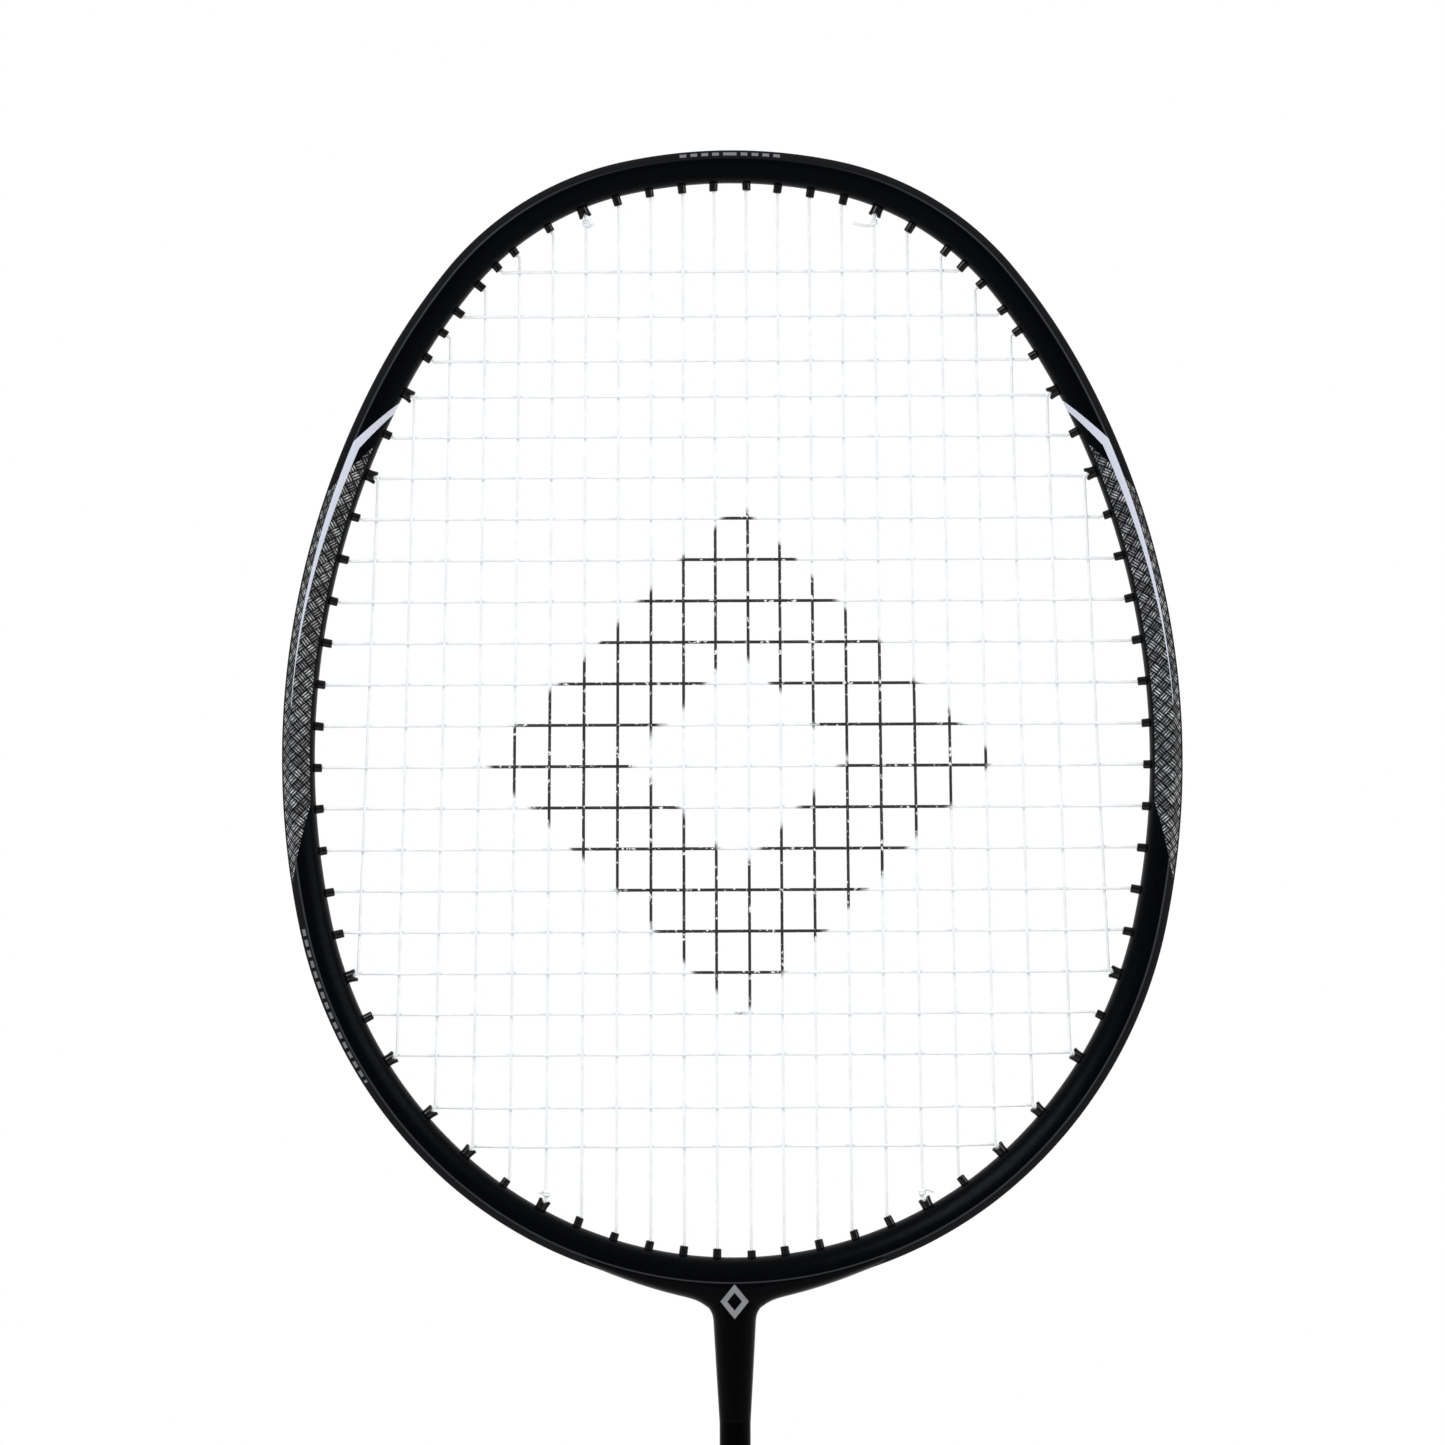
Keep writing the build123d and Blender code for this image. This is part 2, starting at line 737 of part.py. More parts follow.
pieces = {
    "frame_hoop": frame_hoop,
    "t_insert": t_insert,
    "throat_joint": throat_joint,
    "shaft": shaft,
    "handle_core": handle_core,
    "handle_cone": handle_cone,
    "grip_wrap": grip_wrap,
    "finishing_tape": finishing_tape,
    "grip_staples": grip_staples,
    "butt_cap": butt_cap,
    "butt_badge": butt_badge,
    "top_grommets": top_grommets,
    "bottom_grommets": bottom_grommets,
    "left_grommets": left_grommets,
    "right_grommets": right_grommets,
    "shared_grommets_left": shared_grommets_left,
    "shared_grommets_right": shared_grommets_right,
    "tie_off_grommets": tie_off_grommets,
    "throat_strip_left": throat_strip_left,
    "throat_strip_right": throat_strip_right,
    "main_string": main_string,
    "cross_string": cross_string,
    "main_string_knots": main_string_knots,
    "cross_string_knots": cross_string_knots,
}
os.makedirs("parts", exist_ok=True)
for name, piece in pieces.items():
    piece.part.label = name
    export_step(piece.part, f"parts/{name}.step")
    print(name, len(piece.part.solids()), round(piece.part.volume, 1))
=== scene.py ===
import math
import random
import bpy
import bmesh
from mathutils import Matrix, Vector


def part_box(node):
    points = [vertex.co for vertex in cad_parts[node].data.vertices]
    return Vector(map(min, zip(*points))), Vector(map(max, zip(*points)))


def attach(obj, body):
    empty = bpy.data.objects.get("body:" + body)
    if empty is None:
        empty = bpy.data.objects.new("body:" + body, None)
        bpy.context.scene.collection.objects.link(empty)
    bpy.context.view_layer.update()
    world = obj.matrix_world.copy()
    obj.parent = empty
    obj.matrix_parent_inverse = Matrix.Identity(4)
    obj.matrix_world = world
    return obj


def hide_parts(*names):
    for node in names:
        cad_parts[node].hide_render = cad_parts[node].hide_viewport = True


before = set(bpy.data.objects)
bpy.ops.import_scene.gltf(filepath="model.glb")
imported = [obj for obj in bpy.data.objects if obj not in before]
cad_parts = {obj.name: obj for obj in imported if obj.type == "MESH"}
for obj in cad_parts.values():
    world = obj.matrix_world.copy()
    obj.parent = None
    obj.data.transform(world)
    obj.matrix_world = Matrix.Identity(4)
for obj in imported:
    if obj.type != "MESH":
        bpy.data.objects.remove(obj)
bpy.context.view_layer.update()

# Racket: everything is shaped in millimetres and brought to metres when a piece is finished
mm = 0.001
random.seed(11)
print("frame loaded,", len(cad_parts), "nodes")


# finishing a piece: metres, normals, shading, and what it stands for
def addPiece(name, bm, finish, nodes, sharpAngle=None):
    bmesh.ops.scale(bm, vec=(mm, mm, mm), verts=bm.verts)
    bmesh.ops.recalc_face_normals(bm, faces=bm.faces)
    for face in bm.faces:
        face.smooth = True
    if sharpAngle:
        limit = math.radians(sharpAngle)
        for edge in bm.edges:
            if len(edge.link_faces) == 2 and edge.calc_face_angle() > limit:
                edge.smooth = False
    mesh = bpy.data.meshes.new(name)
    bm.to_mesh(mesh)
    bm.free()
    mesh.materials.append(finish)
    return settle(bpy.data.objects.new(name, mesh), nodes)


def settle(piece, nodes):
    bpy.context.scene.collection.objects.link(piece)
    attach(piece, "root")
    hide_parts(*nodes)
    return piece


# small helpers for shader trees
def newFinish(name, color, roughness, specular=0.3, metallic=0.0):
    finish = bpy.data.materials.new(name)
    finish.use_nodes = True
    shader = finish.node_tree.nodes["Principled BSDF"]
    shader.inputs["Base Color"].default_value = (*color, 1)
    shader.inputs["Roughness"].default_value = roughness
    shader.inputs["Specular IOR Level"].default_value = specular
    shader.inputs["Metallic"].default_value = metallic
    return finish, finish.node_tree, shader


def plug(tree, socket, value):
    if isinstance(value, bpy.types.NodeSocket):
        tree.links.new(value, socket)
    else:
        socket.default_value = value


def calc(tree, operation, *values):
    node = tree.nodes.new("ShaderNodeMath")
    node.operation = operation
    for socket, value in zip(node.inputs, values):
        plug(tree, socket, value)
    return node.outputs[0]


def times(tree, first, second):
    return calc(tree, "MULTIPLY", first, second)


def minus(tree, first, second):
    return calc(tree, "SUBTRACT", first, second)


def either(tree, first, second):
    return calc(tree, "MAXIMUM", first, second)


def moreThan(tree, value, limit):
    return calc(tree, "GREATER_THAN", value, limit)


def lessThan(tree, value, limit):
    return calc(tree, "LESS_THAN", value, limit)


# a soft step from one value to another
def ramp(tree, value, low, high, fromLow=0.0, fromHigh=1.0):
    node = tree.nodes.new("ShaderNodeMapRange")
    node.interpolation_type = "SMOOTHSTEP"
    ends = {"Value": value, "From Min": fromLow, "From Max": fromHigh, "To Min": low, "To Max": high}
    for name, part in ends.items():
        plug(tree, node.inputs[name], part)
    return node.outputs["Result"]


def mixColor(tree, share, first, second):
    node = tree.nodes.new("ShaderNodeMix")
    node.data_type = "RGBA"
    plug(tree, node.inputs["Factor"], share)
    for socket, color in ((node.inputs[6], first), (node.inputs[7], second)):
        plug(tree, socket, color if isinstance(color, bpy.types.NodeSocket) else (*color, 1))
    return node.outputs[2]


def objectPlace(tree):
    return tree.nodes.new("ShaderNodeTexCoord").outputs["Object"]


def splitPlace(tree, vector):
    node = tree.nodes.new("ShaderNodeSeparateXYZ")
    tree.links.new(vector, node.inputs[0])
    return node.outputs


def noise(tree, place, scale, detail=2.0):
    node = tree.nodes.new("ShaderNodeTexNoise")
    tree.links.new(place, node.inputs["Vector"])
    node.inputs["Scale"].default_value = scale
    node.inputs["Detail"].default_value = detail
    return node.outputs[0]


def addBump(tree, shader, height, strength, distance):
    node = tree.nodes.new("ShaderNodeBump")
    node.inputs["Strength"].default_value = strength
    node.inputs["Distance"].default_value = distance
    tree.links.new(height, node.inputs["Height"])
    tree.links.new(node.outputs[0], shader.inputs["Normal"])


def varyGloss(tree, shader, wander, low, high):
    tree.links.new(ramp(tree, wander, low, high, 0.3, 0.7), shader.inputs["Roughness"])


# a plain moulded or painted surface: a little wander in its gloss, and a faint texture
def plainFinish(name, color, roughness, specular=0.3, grain=900, relief=0.03, metallic=0.0):
    finish, tree, shader = newFinish(name, color, roughness, specular, metallic)
    wander = noise(tree, objectPlace(tree), grain)
    varyGloss(tree, shader, wander, roughness * 0.85, roughness * 1.2)
    addBump(tree, shader, wander, relief, 0.0002)
    return finish


# hoop outline
hoop = {
    "length": 675.0,
    "halfWidth": 100.9,
    "width": 7.3,
    "depth": 10.4,
    "ridgeInset": 1.9,
    "bevelLip": 2.6,
    "shoulderInset": 1.25,      # where the rounded inner side passes into the flank
    "shoulderShare": 0.65,
    "flank": (0.14, 0.885),     # a place halfway up the flank, as shares of half the width and depth
    "ridgeRound": ((-0.34, -0.06), (0.27, -0.37)),      # where the rounding starts and ends
    "lipRound": ((-0.25, 0.34), (0.0, -0.3)),
    "channelEdge": (0.12, 0.15),
    # outline from the top down one side: radius over half the head's width, and turn in degrees
    "arcs": [(1.159, 11.8), (0.692, 39.1), (1.458, 11.7), (1.831, 39.0), (1.040, 35.3)],
    "channelHalf": 1.65,
    "channelFloor": 1.35,
    "step": 1.0,        # spacing of the rings along the hoop
}
halfRim = hoop["width"] / 2
ridge = halfRim - hoop["ridgeInset"]


def hoopArcs():
    arcs = []
    centerX, centerZ, heading, previous = 0.0, hoop["length"], 0.0, 0.0
    turns = hoop["arcs"] + [(None, 180.0 - sum(turn for ratio, turn in hoop["arcs"]))]
    for ratio, turn in turns:
        normalX, normalZ = math.sin(math.radians(heading)), math.cos(math.radians(heading))
        outer = ratio * hoop["halfWidth"] if ratio else previous + centerX / normalX
        centerX += (previous - outer) * normalX
        centerZ += (previous - outer) * normalZ
        arcs.append((centerX, centerZ, outer - halfRim, heading, turn))
        heading += turn
        previous = outer
    return arcs


rimArcs = hoopArcs()
rimLength = sum(radius * math.radians(turn) for x, z, radius, start, turn in rimArcs)


# a place on the hoop: distance from the top, negative on the left, then outward and across
def rimPlace(distance, outward=0.0, across=0.0):
    left = abs(distance)
    for x, z, radius, start, turn in rimArcs:
        if left <= radius * math.radians(turn) or start + turn > 179.9:
            break
        left -= radius * math.radians(turn)
    angle = math.radians(start) + min(left / radius, math.radians(turn))
    side = -1 if distance < 0 else 1
    reach = radius + outward
    return Vector((side * (x + reach * math.sin(angle)), across, z + reach * math.cos(angle)))


def rimMeasure(point):
    x, z = abs(point.x), point.z
    before = 0.0
    for centerX, centerZ, radius, start, turn in rimArcs:
        angle = math.degrees(math.atan2(x - centerX, z - centerZ))
        if start - 0.01 <= angle <= start + turn + 0.01:
            outward = math.hypot(x - centerX, z - centerZ) - radius
            return before + radius * math.radians(angle - start), outward
        before += radius * math.radians(turn)
    return rimLength, 0.0


def findPlace(low, high, measure, target):
    rising = measure(high) > measure(low)
    for step in range(40):
        middle = (low + high) / 2
        if (measure(middle) < target) == rising:
            low = middle
        else:
            high = middle
    return low


# stringing pattern
bed = {
    "mains": 11,
    "gap": 3.77,        # from the middle to the first main
    "pitch": 7.4,
    "growth": 0.07,     # how the pitch grows outwards
    "topFan": 0.97,     # how the mains stand at the top and at the bottom, as a share of their pitch
    "bottomFan": 1.03,
    "rows": 22,
    "topRowPitch": 10.0,
    "topRowDrop": 2.0,
    "sharedTop": {4: 10, 6: 11},
    "sharedBottom": {18: 11, 20: 10, 21: 9, 22: 8},
    "tieTop": 5,
    "tieBottom": 6,
    "stripMains": 4,
    "thickness": 0.70,
    "weave": 0.36,      # how far a string sways at a crossing
    "lane": 0.80,
    "boreLane": 0.37,
    "lowerLevel": 2.15,
    "upperLevel": 2.90,
    "turnIn": 1.9,
    "mouth": 5.85,
    "bend": 6.15,
    "margin": 1.4,
}


def mainOffset(number):
    steps = number - 1
    return bed["gap"] + bed["pitch"] * steps + bed["growth"] * steps * (steps - 1)


def holeX(distance):
    return rimPlace(distance, -halfRim).x


def mouthZ(distance):
    return rimPlace(distance, -bed["mouth"]).z


widest = sum(radius * math.radians(turn) for x, z, radius, start, turn in rimArcs[:3])
widest += rimArcs[3][2] * math.radians(90.0 - rimArcs[3][3])
mains = range(1, bed["mains"] + 1)
rows = range(1, bed["rows"] + 1)
mainTop = {k: findPlace(0.0, widest, holeX, bed["topFan"] * mainOffset(k)) for k in mains}
mainBottom = {k: findPlace(widest, rimLength, holeX, bed["bottomFan"] * mainOffset(k)) for k in mains}
rowHole = {row: mainTop[k] for row, k in bed["sharedTop"].items()}
rowHole.update({row: mainBottom[k] for row, k in bed["sharedBottom"].items()})
rowHeight = {row: mouthZ(place) for row, place in rowHole.items()}
firstShared = min(rowHeight)
for row in range(1, firstShared):
    rowHeight[row] = rowHeight[firstShared] + (firstShared - row) * bed["topRowPitch"] - bed["topRowDrop"]
fixedRows = sorted(rowHole)
for above, below in zip(fixedRows, fixedRows[1:]):
    pitch = (rowHeight[above] - rowHeight[below]) / (below - above)
    for row in range(above + 1, below):
        rowHeight[row] = rowHeight[above] - (row - above) * pitch
for row in rows:
    if row not in rowHole:
        rowHole[row] = findPlace(0.0, rimLength, mouthZ, rowHeight[row])

sharedTopMains = set(bed["sharedTop"].values())
sharedBottomMains = set(bed["sharedBottom"].values())
topSingle = [mainTop[k] for k in mains if k not in sharedTopMains | {bed["tieTop"]}]
stripPlaces = [mainBottom[k] for k in range(1, bed["stripMains"] + 1)]
bottomSingle = [
    mainBottom[k] for k in mains if k > bed["stripMains"] and k not in sharedBottomMains | {bed["tieBottom"]}
]
rowSingle = [rowHole[row] for row in rows if row not in bed["sharedTop"] and row not in bed["sharedBottom"]]
sharedPlaces = [mainTop[k] for k in sharedTopMains] + [mainBottom[k] for k in sharedBottomMains]
tiePlaces = [mainTop[bed["tieTop"]], mainBottom[bed["tieBottom"]]]
doublePlaces = set(sharedPlaces + tiePlaces)


def bothSides(places):
    return [side * place for side in (-1, 1) for place in places]


print("string pattern worked out,", bed["rows"], "rows,", 2 * bed["mains"], "mains")

# lacquer of the hoop: black, a white pinstripe, a woven carbon print, two rows of plain dashes, and a painted
# highlight along the ridge
paint = {
    "black": (0.0009, 0.0010, 0.0013),
    "paintedHighlight": (0.035, 0.037, 0.042),     # painted highlight: a lighter tone along the ridge
    "paintedHighlightReach": (0.08, 0.30),         # how far the painted highlight spreads from the ridge
    "paintedHighlightStart": (12.0, 60.0),         # and where along the hoop it comes in
    "roughness": 0.27,
    "specular": 0.032,
    "tint": (0.78, 0.86, 1.0),
    "white": (0.58, 0.61, 0.70),
    "printDark": (0.0015, 0.0015, 0.002),
    "printLight": (0.64, 0.65, 0.66),
    "fold": 0.69,           # the print runs on over the ridge, down the bevel
    "cell": 1.9,            # side of one woven patch, in millimetres
    "fibers": 3.0,          # hatch lines in a patch
    # each as a dark tone, a light tone, and where one passes into the other
    "hatch": (0.04, 1.0, 0.14, 0.38),
    "crown": (0.25, 1.0, 0.02, 0.36),
    "patchEdge": (0.0, 1.0, 0.06, 0.20),
    "speckle": (0.45, 1.0, 0.42, 0.58),
    "printDepth": (3.0, 3.25),
    "stripeTop": (107.2, 2.226),        # upper edge of the slanting part: place at mid face, and its lean
    "stripeFoot": (111.9, 2.77),
    "stripeTurn": 111.0,
    "stripeEnd": 172.0,
    "stripeWidth": (1.85, 0.12),
    "printTop": (116.5, 2.2),
    "printCut": (201.3, 2.93),
    "dashGray": (0.16, 0.165, 0.17),
    "dashPitch": 0.42,
    "dashShare": 0.62,
    "dashRow": (2.35, 3.1),
    "dashDepth": 2.8,
    "topDashes": 11.9,
    "lowDashes": (239.5, 18.3),
}


# tone of the woven print: patches hatched one way and the other, like a twill
def weaveTone(tree, along, girth):
    diagonal = 0.7071 / paint["cell"]
    rising = times(tree, calc(tree, "ADD", along, girth), diagonal)
    falling = times(tree, minus(tree, along, girth), diagonal)
    cellA, cellB = calc(tree, "FLOOR", rising), calc(tree, "FLOOR", falling)
    partA, partB = calc(tree, "FRACT", rising), calc(tree, "FRACT", falling)
    over = calc(tree, "FLOORED_MODULO", calc(tree, "ADD", cellA, cellB), 2.0)
    lean = times(tree, minus(tree, partB, partA), over)
    acrossFiber, alongFiber = calc(tree, "ADD", partA, lean), minus(tree, partB, lean)
    hatch = calc(tree, "PINGPONG", times(tree, acrossFiber, paint["fibers"]), 0.5)
    hatch = ramp(tree, hatch, *paint["hatch"])
    crown = ramp(tree, calc(tree, "PINGPONG", alongFiber, 0.5), *paint["crown"])
    edge = ramp(tree, calc(tree, "PINGPONG", acrossFiber, 0.5), *paint["patchEdge"])
    cellPlace = tree.nodes.new("ShaderNodeCombineXYZ")
    tree.links.new(cellA, cellPlace.inputs[0])
    tree.links.new(cellB, cellPlace.inputs[1])
    wild = tree.nodes.new("ShaderNodeTexWhiteNoise")
    tree.links.new(cellPlace.outputs[0], wild.inputs["Vector"])
    patch = times(tree, edge, ramp(tree, wild.outputs["Value"], 0.3, 1.0))
    speckle = ramp(tree, noise(tree, objectPlace(tree), 2600, 1.0), *paint["speckle"])
    return times(tree, times(tree, times(tree, hatch, crown), patch), speckle)


# a line that leans over the face of the hoop
def leaningLine(tree, outward, line):
    return calc(tree, "MULTIPLY_ADD", outward, line[1], line[0])


# pinstripe: a slanting band over the face, then a line on the ridge that thins out
def stripeMask(tree, along, outward, depth):
    turn, end = paint["stripeTurn"] - 10, paint["stripeEnd"]
    width = ramp(tree, along, *paint["stripeWidth"], turn, end)
    inward = minus(tree, ridge + 0.1, outward)
    slant = lessThan(tree, along, leaningLine(tree, outward, paint["stripeFoot"]))
    inBand = either(tree, slant, lessThan(tree, inward, width))
    onFace = times(tree, moreThan(tree, inward, 0.0), lessThan(tree, along, end))
    past = moreThan(tree, along, leaningLine(tree, outward, paint["stripeTop"]))
    beside = moreThan(tree, depth, hoop["channelHalf"] + 0.2)
    outsideChannel = either(tree, beside, lessThan(tree, outward, 0.5))
    return times(tree, times(tree, times(tree, inBand, onFace), past), outsideChannel)


# plain dashes on the outer bevel: one group at the top, one low on the left
def dashMask(tree, along, outward, depth, side):
    dash = lessThan(tree, calc(tree, "FRACT", times(tree, along, paint["dashPitch"])), paint["dashShare"])
    low, high = paint["dashRow"]
    row = times(tree, moreThan(tree, outward, low), lessThan(tree, outward, high))
    row = times(tree, row, moreThan(tree, depth, paint["dashDepth"]))
    top = lessThan(tree, along, paint["topDashes"])
    low = times(tree, calc(tree, "COMPARE", along, *paint["lowDashes"]), lessThan(tree, side, 0.0))
    return times(tree, either(tree, top, low), times(tree, row, dash))


def frameLacquer():
    finish, tree, shader = newFinish("frameLacquer", paint["black"], paint["roughness"], paint["specular"])
    shader.inputs["Specular Tint"].default_value = (*paint["tint"], 1)
    attribute = tree.nodes.new("ShaderNodeAttribute")
    attribute.attribute_name = "rim"
    along, outward, across = splitPlace(tree, attribute.outputs["Vector"])
    side = splitPlace(tree, objectPlace(tree))[0]
    depth = calc(tree, "ABSOLUTE", across)
    pastRidge = either(tree, minus(tree, outward, ridge), 0.0)
    girth = calc(tree, "ADD", outward, times(tree, pastRidge, paint["fold"]))
    printColor = mixColor(tree, weaveTone(tree, along, girth), paint["printDark"], paint["printLight"])
    started = moreThan(tree, along, leaningLine(tree, outward, paint["printTop"]))
    zone = times(tree, started, lessThan(tree, along, leaningLine(tree, outward, paint["printCut"])))
    zone = times(tree, zone, ramp(tree, depth, 0.0, 1.0, *paint["printDepth"]))
    # painted highlight: the ridge on both faces is coloured lighter, coming in away from the top of the hoop
    paintedHighlightMask = calc(tree, "ABSOLUTE", minus(tree, outward, ridge + 0.05))
    paintedHighlightMask = ramp(tree, paintedHighlightMask, 1.0, 0.0, *paint["paintedHighlightReach"])
    paintedHighlightMask = times(tree, paintedHighlightMask, ramp(tree, along, 0.15, 1.0, *paint["paintedHighlightStart"]))
    paintedHighlightMask = times(tree, paintedHighlightMask, moreThan(tree, depth, 4.6))
    color = mixColor(tree, zone, mixColor(tree, paintedHighlightMask, paint["black"], paint["paintedHighlight"]), printColor)
    color = mixColor(tree, stripeMask(tree, along, outward, depth), color, paint["white"])
    color = mixColor(tree, dashMask(tree, along, outward, depth, side), color, paint["dashGray"])
    tree.links.new(color, shader.inputs["Base Color"])
    wander = noise(tree, objectPlace(tree), 700)
    varyGloss(tree, shader, wander, paint["roughness"] * 0.85, paint["roughness"] * 1.25)
    addBump(tree, shader, wander, 0.03, 0.0002)
    return finish


lacquer = frameLacquer()
shaftLacquer = plainFinish("shaftLacquer", (0.0005, 0.0005, 0.0006), 0.16, 0.025, grain=500, relief=0.02)
nylon = plainFinish("grommetNylon", (0.0008, 0.0008, 0.001), 0.14, 0.25, grain=1500)
plastic = plainFinish("conePlastic", (0.003, 0.003, 0.0034), 0.34, 0.2)
tapeVinyl = plainFinish("tapeVinyl", (0.004, 0.004, 0.0045), 0.22, 0.3, grain=350, relief=0.06)
badgePlastic = plainFinish("badgePlastic", (0.35, 0.36, 0.38), 0.3, 0.5)
steel = plainFinish("stapleSteel", (0.55, 0.55, 0.56), 0.3, 0.5, metallic=1.0)
resin = plainFinish("insertResin", (0.03, 0.03, 0.032), 0.5)
print("lacquers and plastics mixed")


# hoop section from the inner middle round one face to the string channel
def arcThrough(start, middle, end, steps):
    ax, ay = middle[0] - start[0], middle[1] - start[1]
    bx, by = end[0] - start[0], end[1] - start[1]
    cross = 2 * (ax * by - ay * bx)
    squareA, squareB = ax * ax + ay * ay, bx * bx + by * by
    cx, cy = (by * squareA - ay * squareB) / cross, (ax * squareB - bx * squareA) / cross
    center = Vector((start[0] + cx, start[1] + cy))
    first, last = Vector(start) - center, Vector(end) - center
    sweep = first.angle_signed(last)
    return [center + Matrix.Rotation(-sweep * step / steps, 2) @ first for step in range(steps + 1)]


def softCorner(before, corner, after, steps=4):
    before, corner, after = Vector(before), Vector(corner), Vector(after)
    shares = [step / steps for step in range(steps + 1)]
    return [before.lerp(corner, t).lerp(corner.lerp(after, t), t) for t in shares]


def roundedAt(corner, offsets, steps=4):
    before, after = [(corner[0] + x, corner[1] + y) for x, y in offsets]
    return softCorner(before, corner, after, steps)


def hoopSection():
    halfDepth = hoop["depth"] / 2
    shoulder = halfRim - hoop["shoulderInset"]
    high = hoop["shoulderShare"] * halfDepth
    flank = (-hoop["flank"][0] * halfRim, hoop["flank"][1] * halfDepth)
    inner = arcThrough((-shoulder, -high), (-halfRim, 0.0), (-shoulder, high), 12)[6:]
    face = arcThrough((-shoulder, high), flank, (ridge, halfDepth), 9)[1:-1]
    ridgeRound = roundedAt((ridge, halfDepth), hoop["ridgeRound"])
    lipRound = roundedAt((halfRim, hoop["bevelLip"]), hoop["lipRound"], 3)
    channelHalf, (edgeIn, edgeUp) = hoop["channelHalf"], hoop["channelEdge"]
    channel = [Vector((halfRim, channelHalf + edgeUp)), Vector((halfRim - edgeIn, channelHalf))]
    channel.append(Vector((hoop["channelFloor"], channelHalf)))
    half = inner + face + ridgeRound + lipRound + channel
    return half + [Vector((point.x, -point.y)) for point in reversed(half[1:])]


def onlyVerts(items):
    return [item for item in items if isinstance(item, bmesh.types.BMVert)]


def onlyEdges(items):
    return [item for item in items if isinstance(item, bmesh.types.BMEdge)]


def ringVerts(bm, points):
    verts = [bm.verts.new(point) for point in points]
    edges = [bm.edges.new(pair) for pair in zip(verts, verts[1:] + verts[:1])]
    return verts + edges


def buildHoop():
    bm = bmesh.new()
    ring = ringVerts(bm, [rimPlace(0.0, point.x, point.y) for point in hoopSection()])
    turns = [(x, z, radius, turn) for x, z, radius, start, turn in rimArcs]
    turns += [(-x, z, radius, turn) for x, z, radius, turn in reversed(turns)]
    for x, z, radius, turn in turns:
        steps = max(2, round(radius * math.radians(turn) / hoop["step"]))
        angle = math.radians(turn)
        made = bmesh.ops.spin(bm, geom=ring, cent=(x, 0, z), axis=(0, 1, 0), angle=angle, steps=steps)
        ring = made["geom_last"]
    bmesh.ops.remove_doubles(bm, verts=bm.verts, dist=0.01)
    layer = bm.verts.layers.float_vector.new("rim")
    for vert in bm.verts:
        along, outward = rimMeasure(vert.co)
        vert[layer] = (along, outward, vert.co.y)
    return bm


hoopPiece = addPiece("hoop", buildHoop(), lacquer, ["frame_hoop"], 40)
print("hoop done,", len(hoopPiece.data.polygons), "faces")

# grommets: a barrel through the hoop with a flange in the channel
grommet = {
    "bore": 0.55,
    "barrel": 1.0,
    "doubleBore": 0.85,
    "doubleBarrel": 1.3,
    "flange": 0.4,
    "reach": (1.45, 2.05),      # how far a barrel stands out of the hoop
    "doubleReach": 2.1,
    "segments": 16,
    "flangeRim": 0.33,          # how far the flange stands out past the barrel
    "split": 0.9,               # where the mouth of a shared grommet starts to part, past the hoop
    "lean": 5.0,                # most a soft tip leans, in degrees
    "sharp": 35,                # edges over this many degrees stay crisp
}


def addLathe(bm, profile, steps, place):
    verts = [bm.verts.new((radius, 0, height)) for radius, height in profile]
    edges = [bm.edges.new(pair) for pair in zip(verts, verts[1:] + verts[:1])]
    around = {"cent": (0, 0, 0), "axis": (0, 0, 1), "angle": math.tau, "steps": steps, "use_merge": True}
    made = bmesh.ops.spin(bm, geom=verts + edges, **around)
    found = onlyVerts(made["geom_last"])
    edge = {vert for vert in verts + found if vert.is_valid}
    grown = set()
    while edge:
        grown |= edge
        edge = {other.other_vert(vert) for vert in edge for other in vert.link_edges} - grown
    bmesh.ops.transform(bm, matrix=place, verts=list(grown))
    return grown


def rimMatrix(distance):
    base = rimPlace(distance)
    outward = (rimPlace(distance, 1.0) - base).normalized()
    acrossAxis = Vector((0, 1, 0))
    alongAxis = outward.cross(acrossAxis)
    turn = Matrix((acrossAxis, alongAxis, outward)).transposed().to_4x4()
    return Matrix.Translation(base) @ turn


# the flange that both kinds end in, in the channel
def flangeProfile(barrel, bore):
    floor, top = hoop["channelFloor"], hoop["channelFloor"] + grommet["flange"]
    rim = barrel + grommet["flangeRim"]
    return [(barrel, -halfRim + 0.4), (barrel, floor), (rim, floor), (rim, top), (bore, top)]


def singleProfile(reach):
    mouth = -(halfRim + reach)
    barrel, bore = grommet["barrel"], grommet["bore"]
    tip = [(bore, mouth + 0.12), (bore + 0.12, mouth), (barrel - 0.2, mouth), (barrel - 0.04, mouth + 0.16)]
    return tip + flangeProfile(barrel, bore)


def doubleProfile(reach):
    mouth = -(halfRim + reach)
    barrel, bore = grommet["doubleBarrel"], grommet["doubleBore"]
    tip = [(bore, mouth + 0.15), (bore + 0.1, mouth), (barrel - 0.1, mouth), (barrel + 0.05, mouth + 0.2)]
    return tip + [(barrel + 0.04, -halfRim - 0.8)] + flangeProfile(barrel, bore) + [(bore, -halfRim - 0.6)]


def leanTip(verts, place, lean):
    inverse = place.inverted()
    for vert in verts:
        local = inverse @ vert.co
        past = max(0.0, -local.z - halfRim)
        local.x += lean[0] * past
        local.y += lean[1] * past
        vert.co = place @ local


def buildGrommets(places, double=False):
    bm = bmesh.new()
    for distance in places:
        place = rimMatrix(distance)
        reach = grommet["doubleReach"] if double else random.uniform(*grommet["reach"])
        profile = doubleProfile(reach) if double else singleProfile(reach)
        verts = addLathe(bm, profile, grommet["segments"], place)
        if double:
            splitMouth(verts, place)
        most = math.tan(math.radians(grommet["lean"]))
        leanTip(verts, place, (random.uniform(-most, most) * 0.5, random.uniform(-most, most)))
    return bm


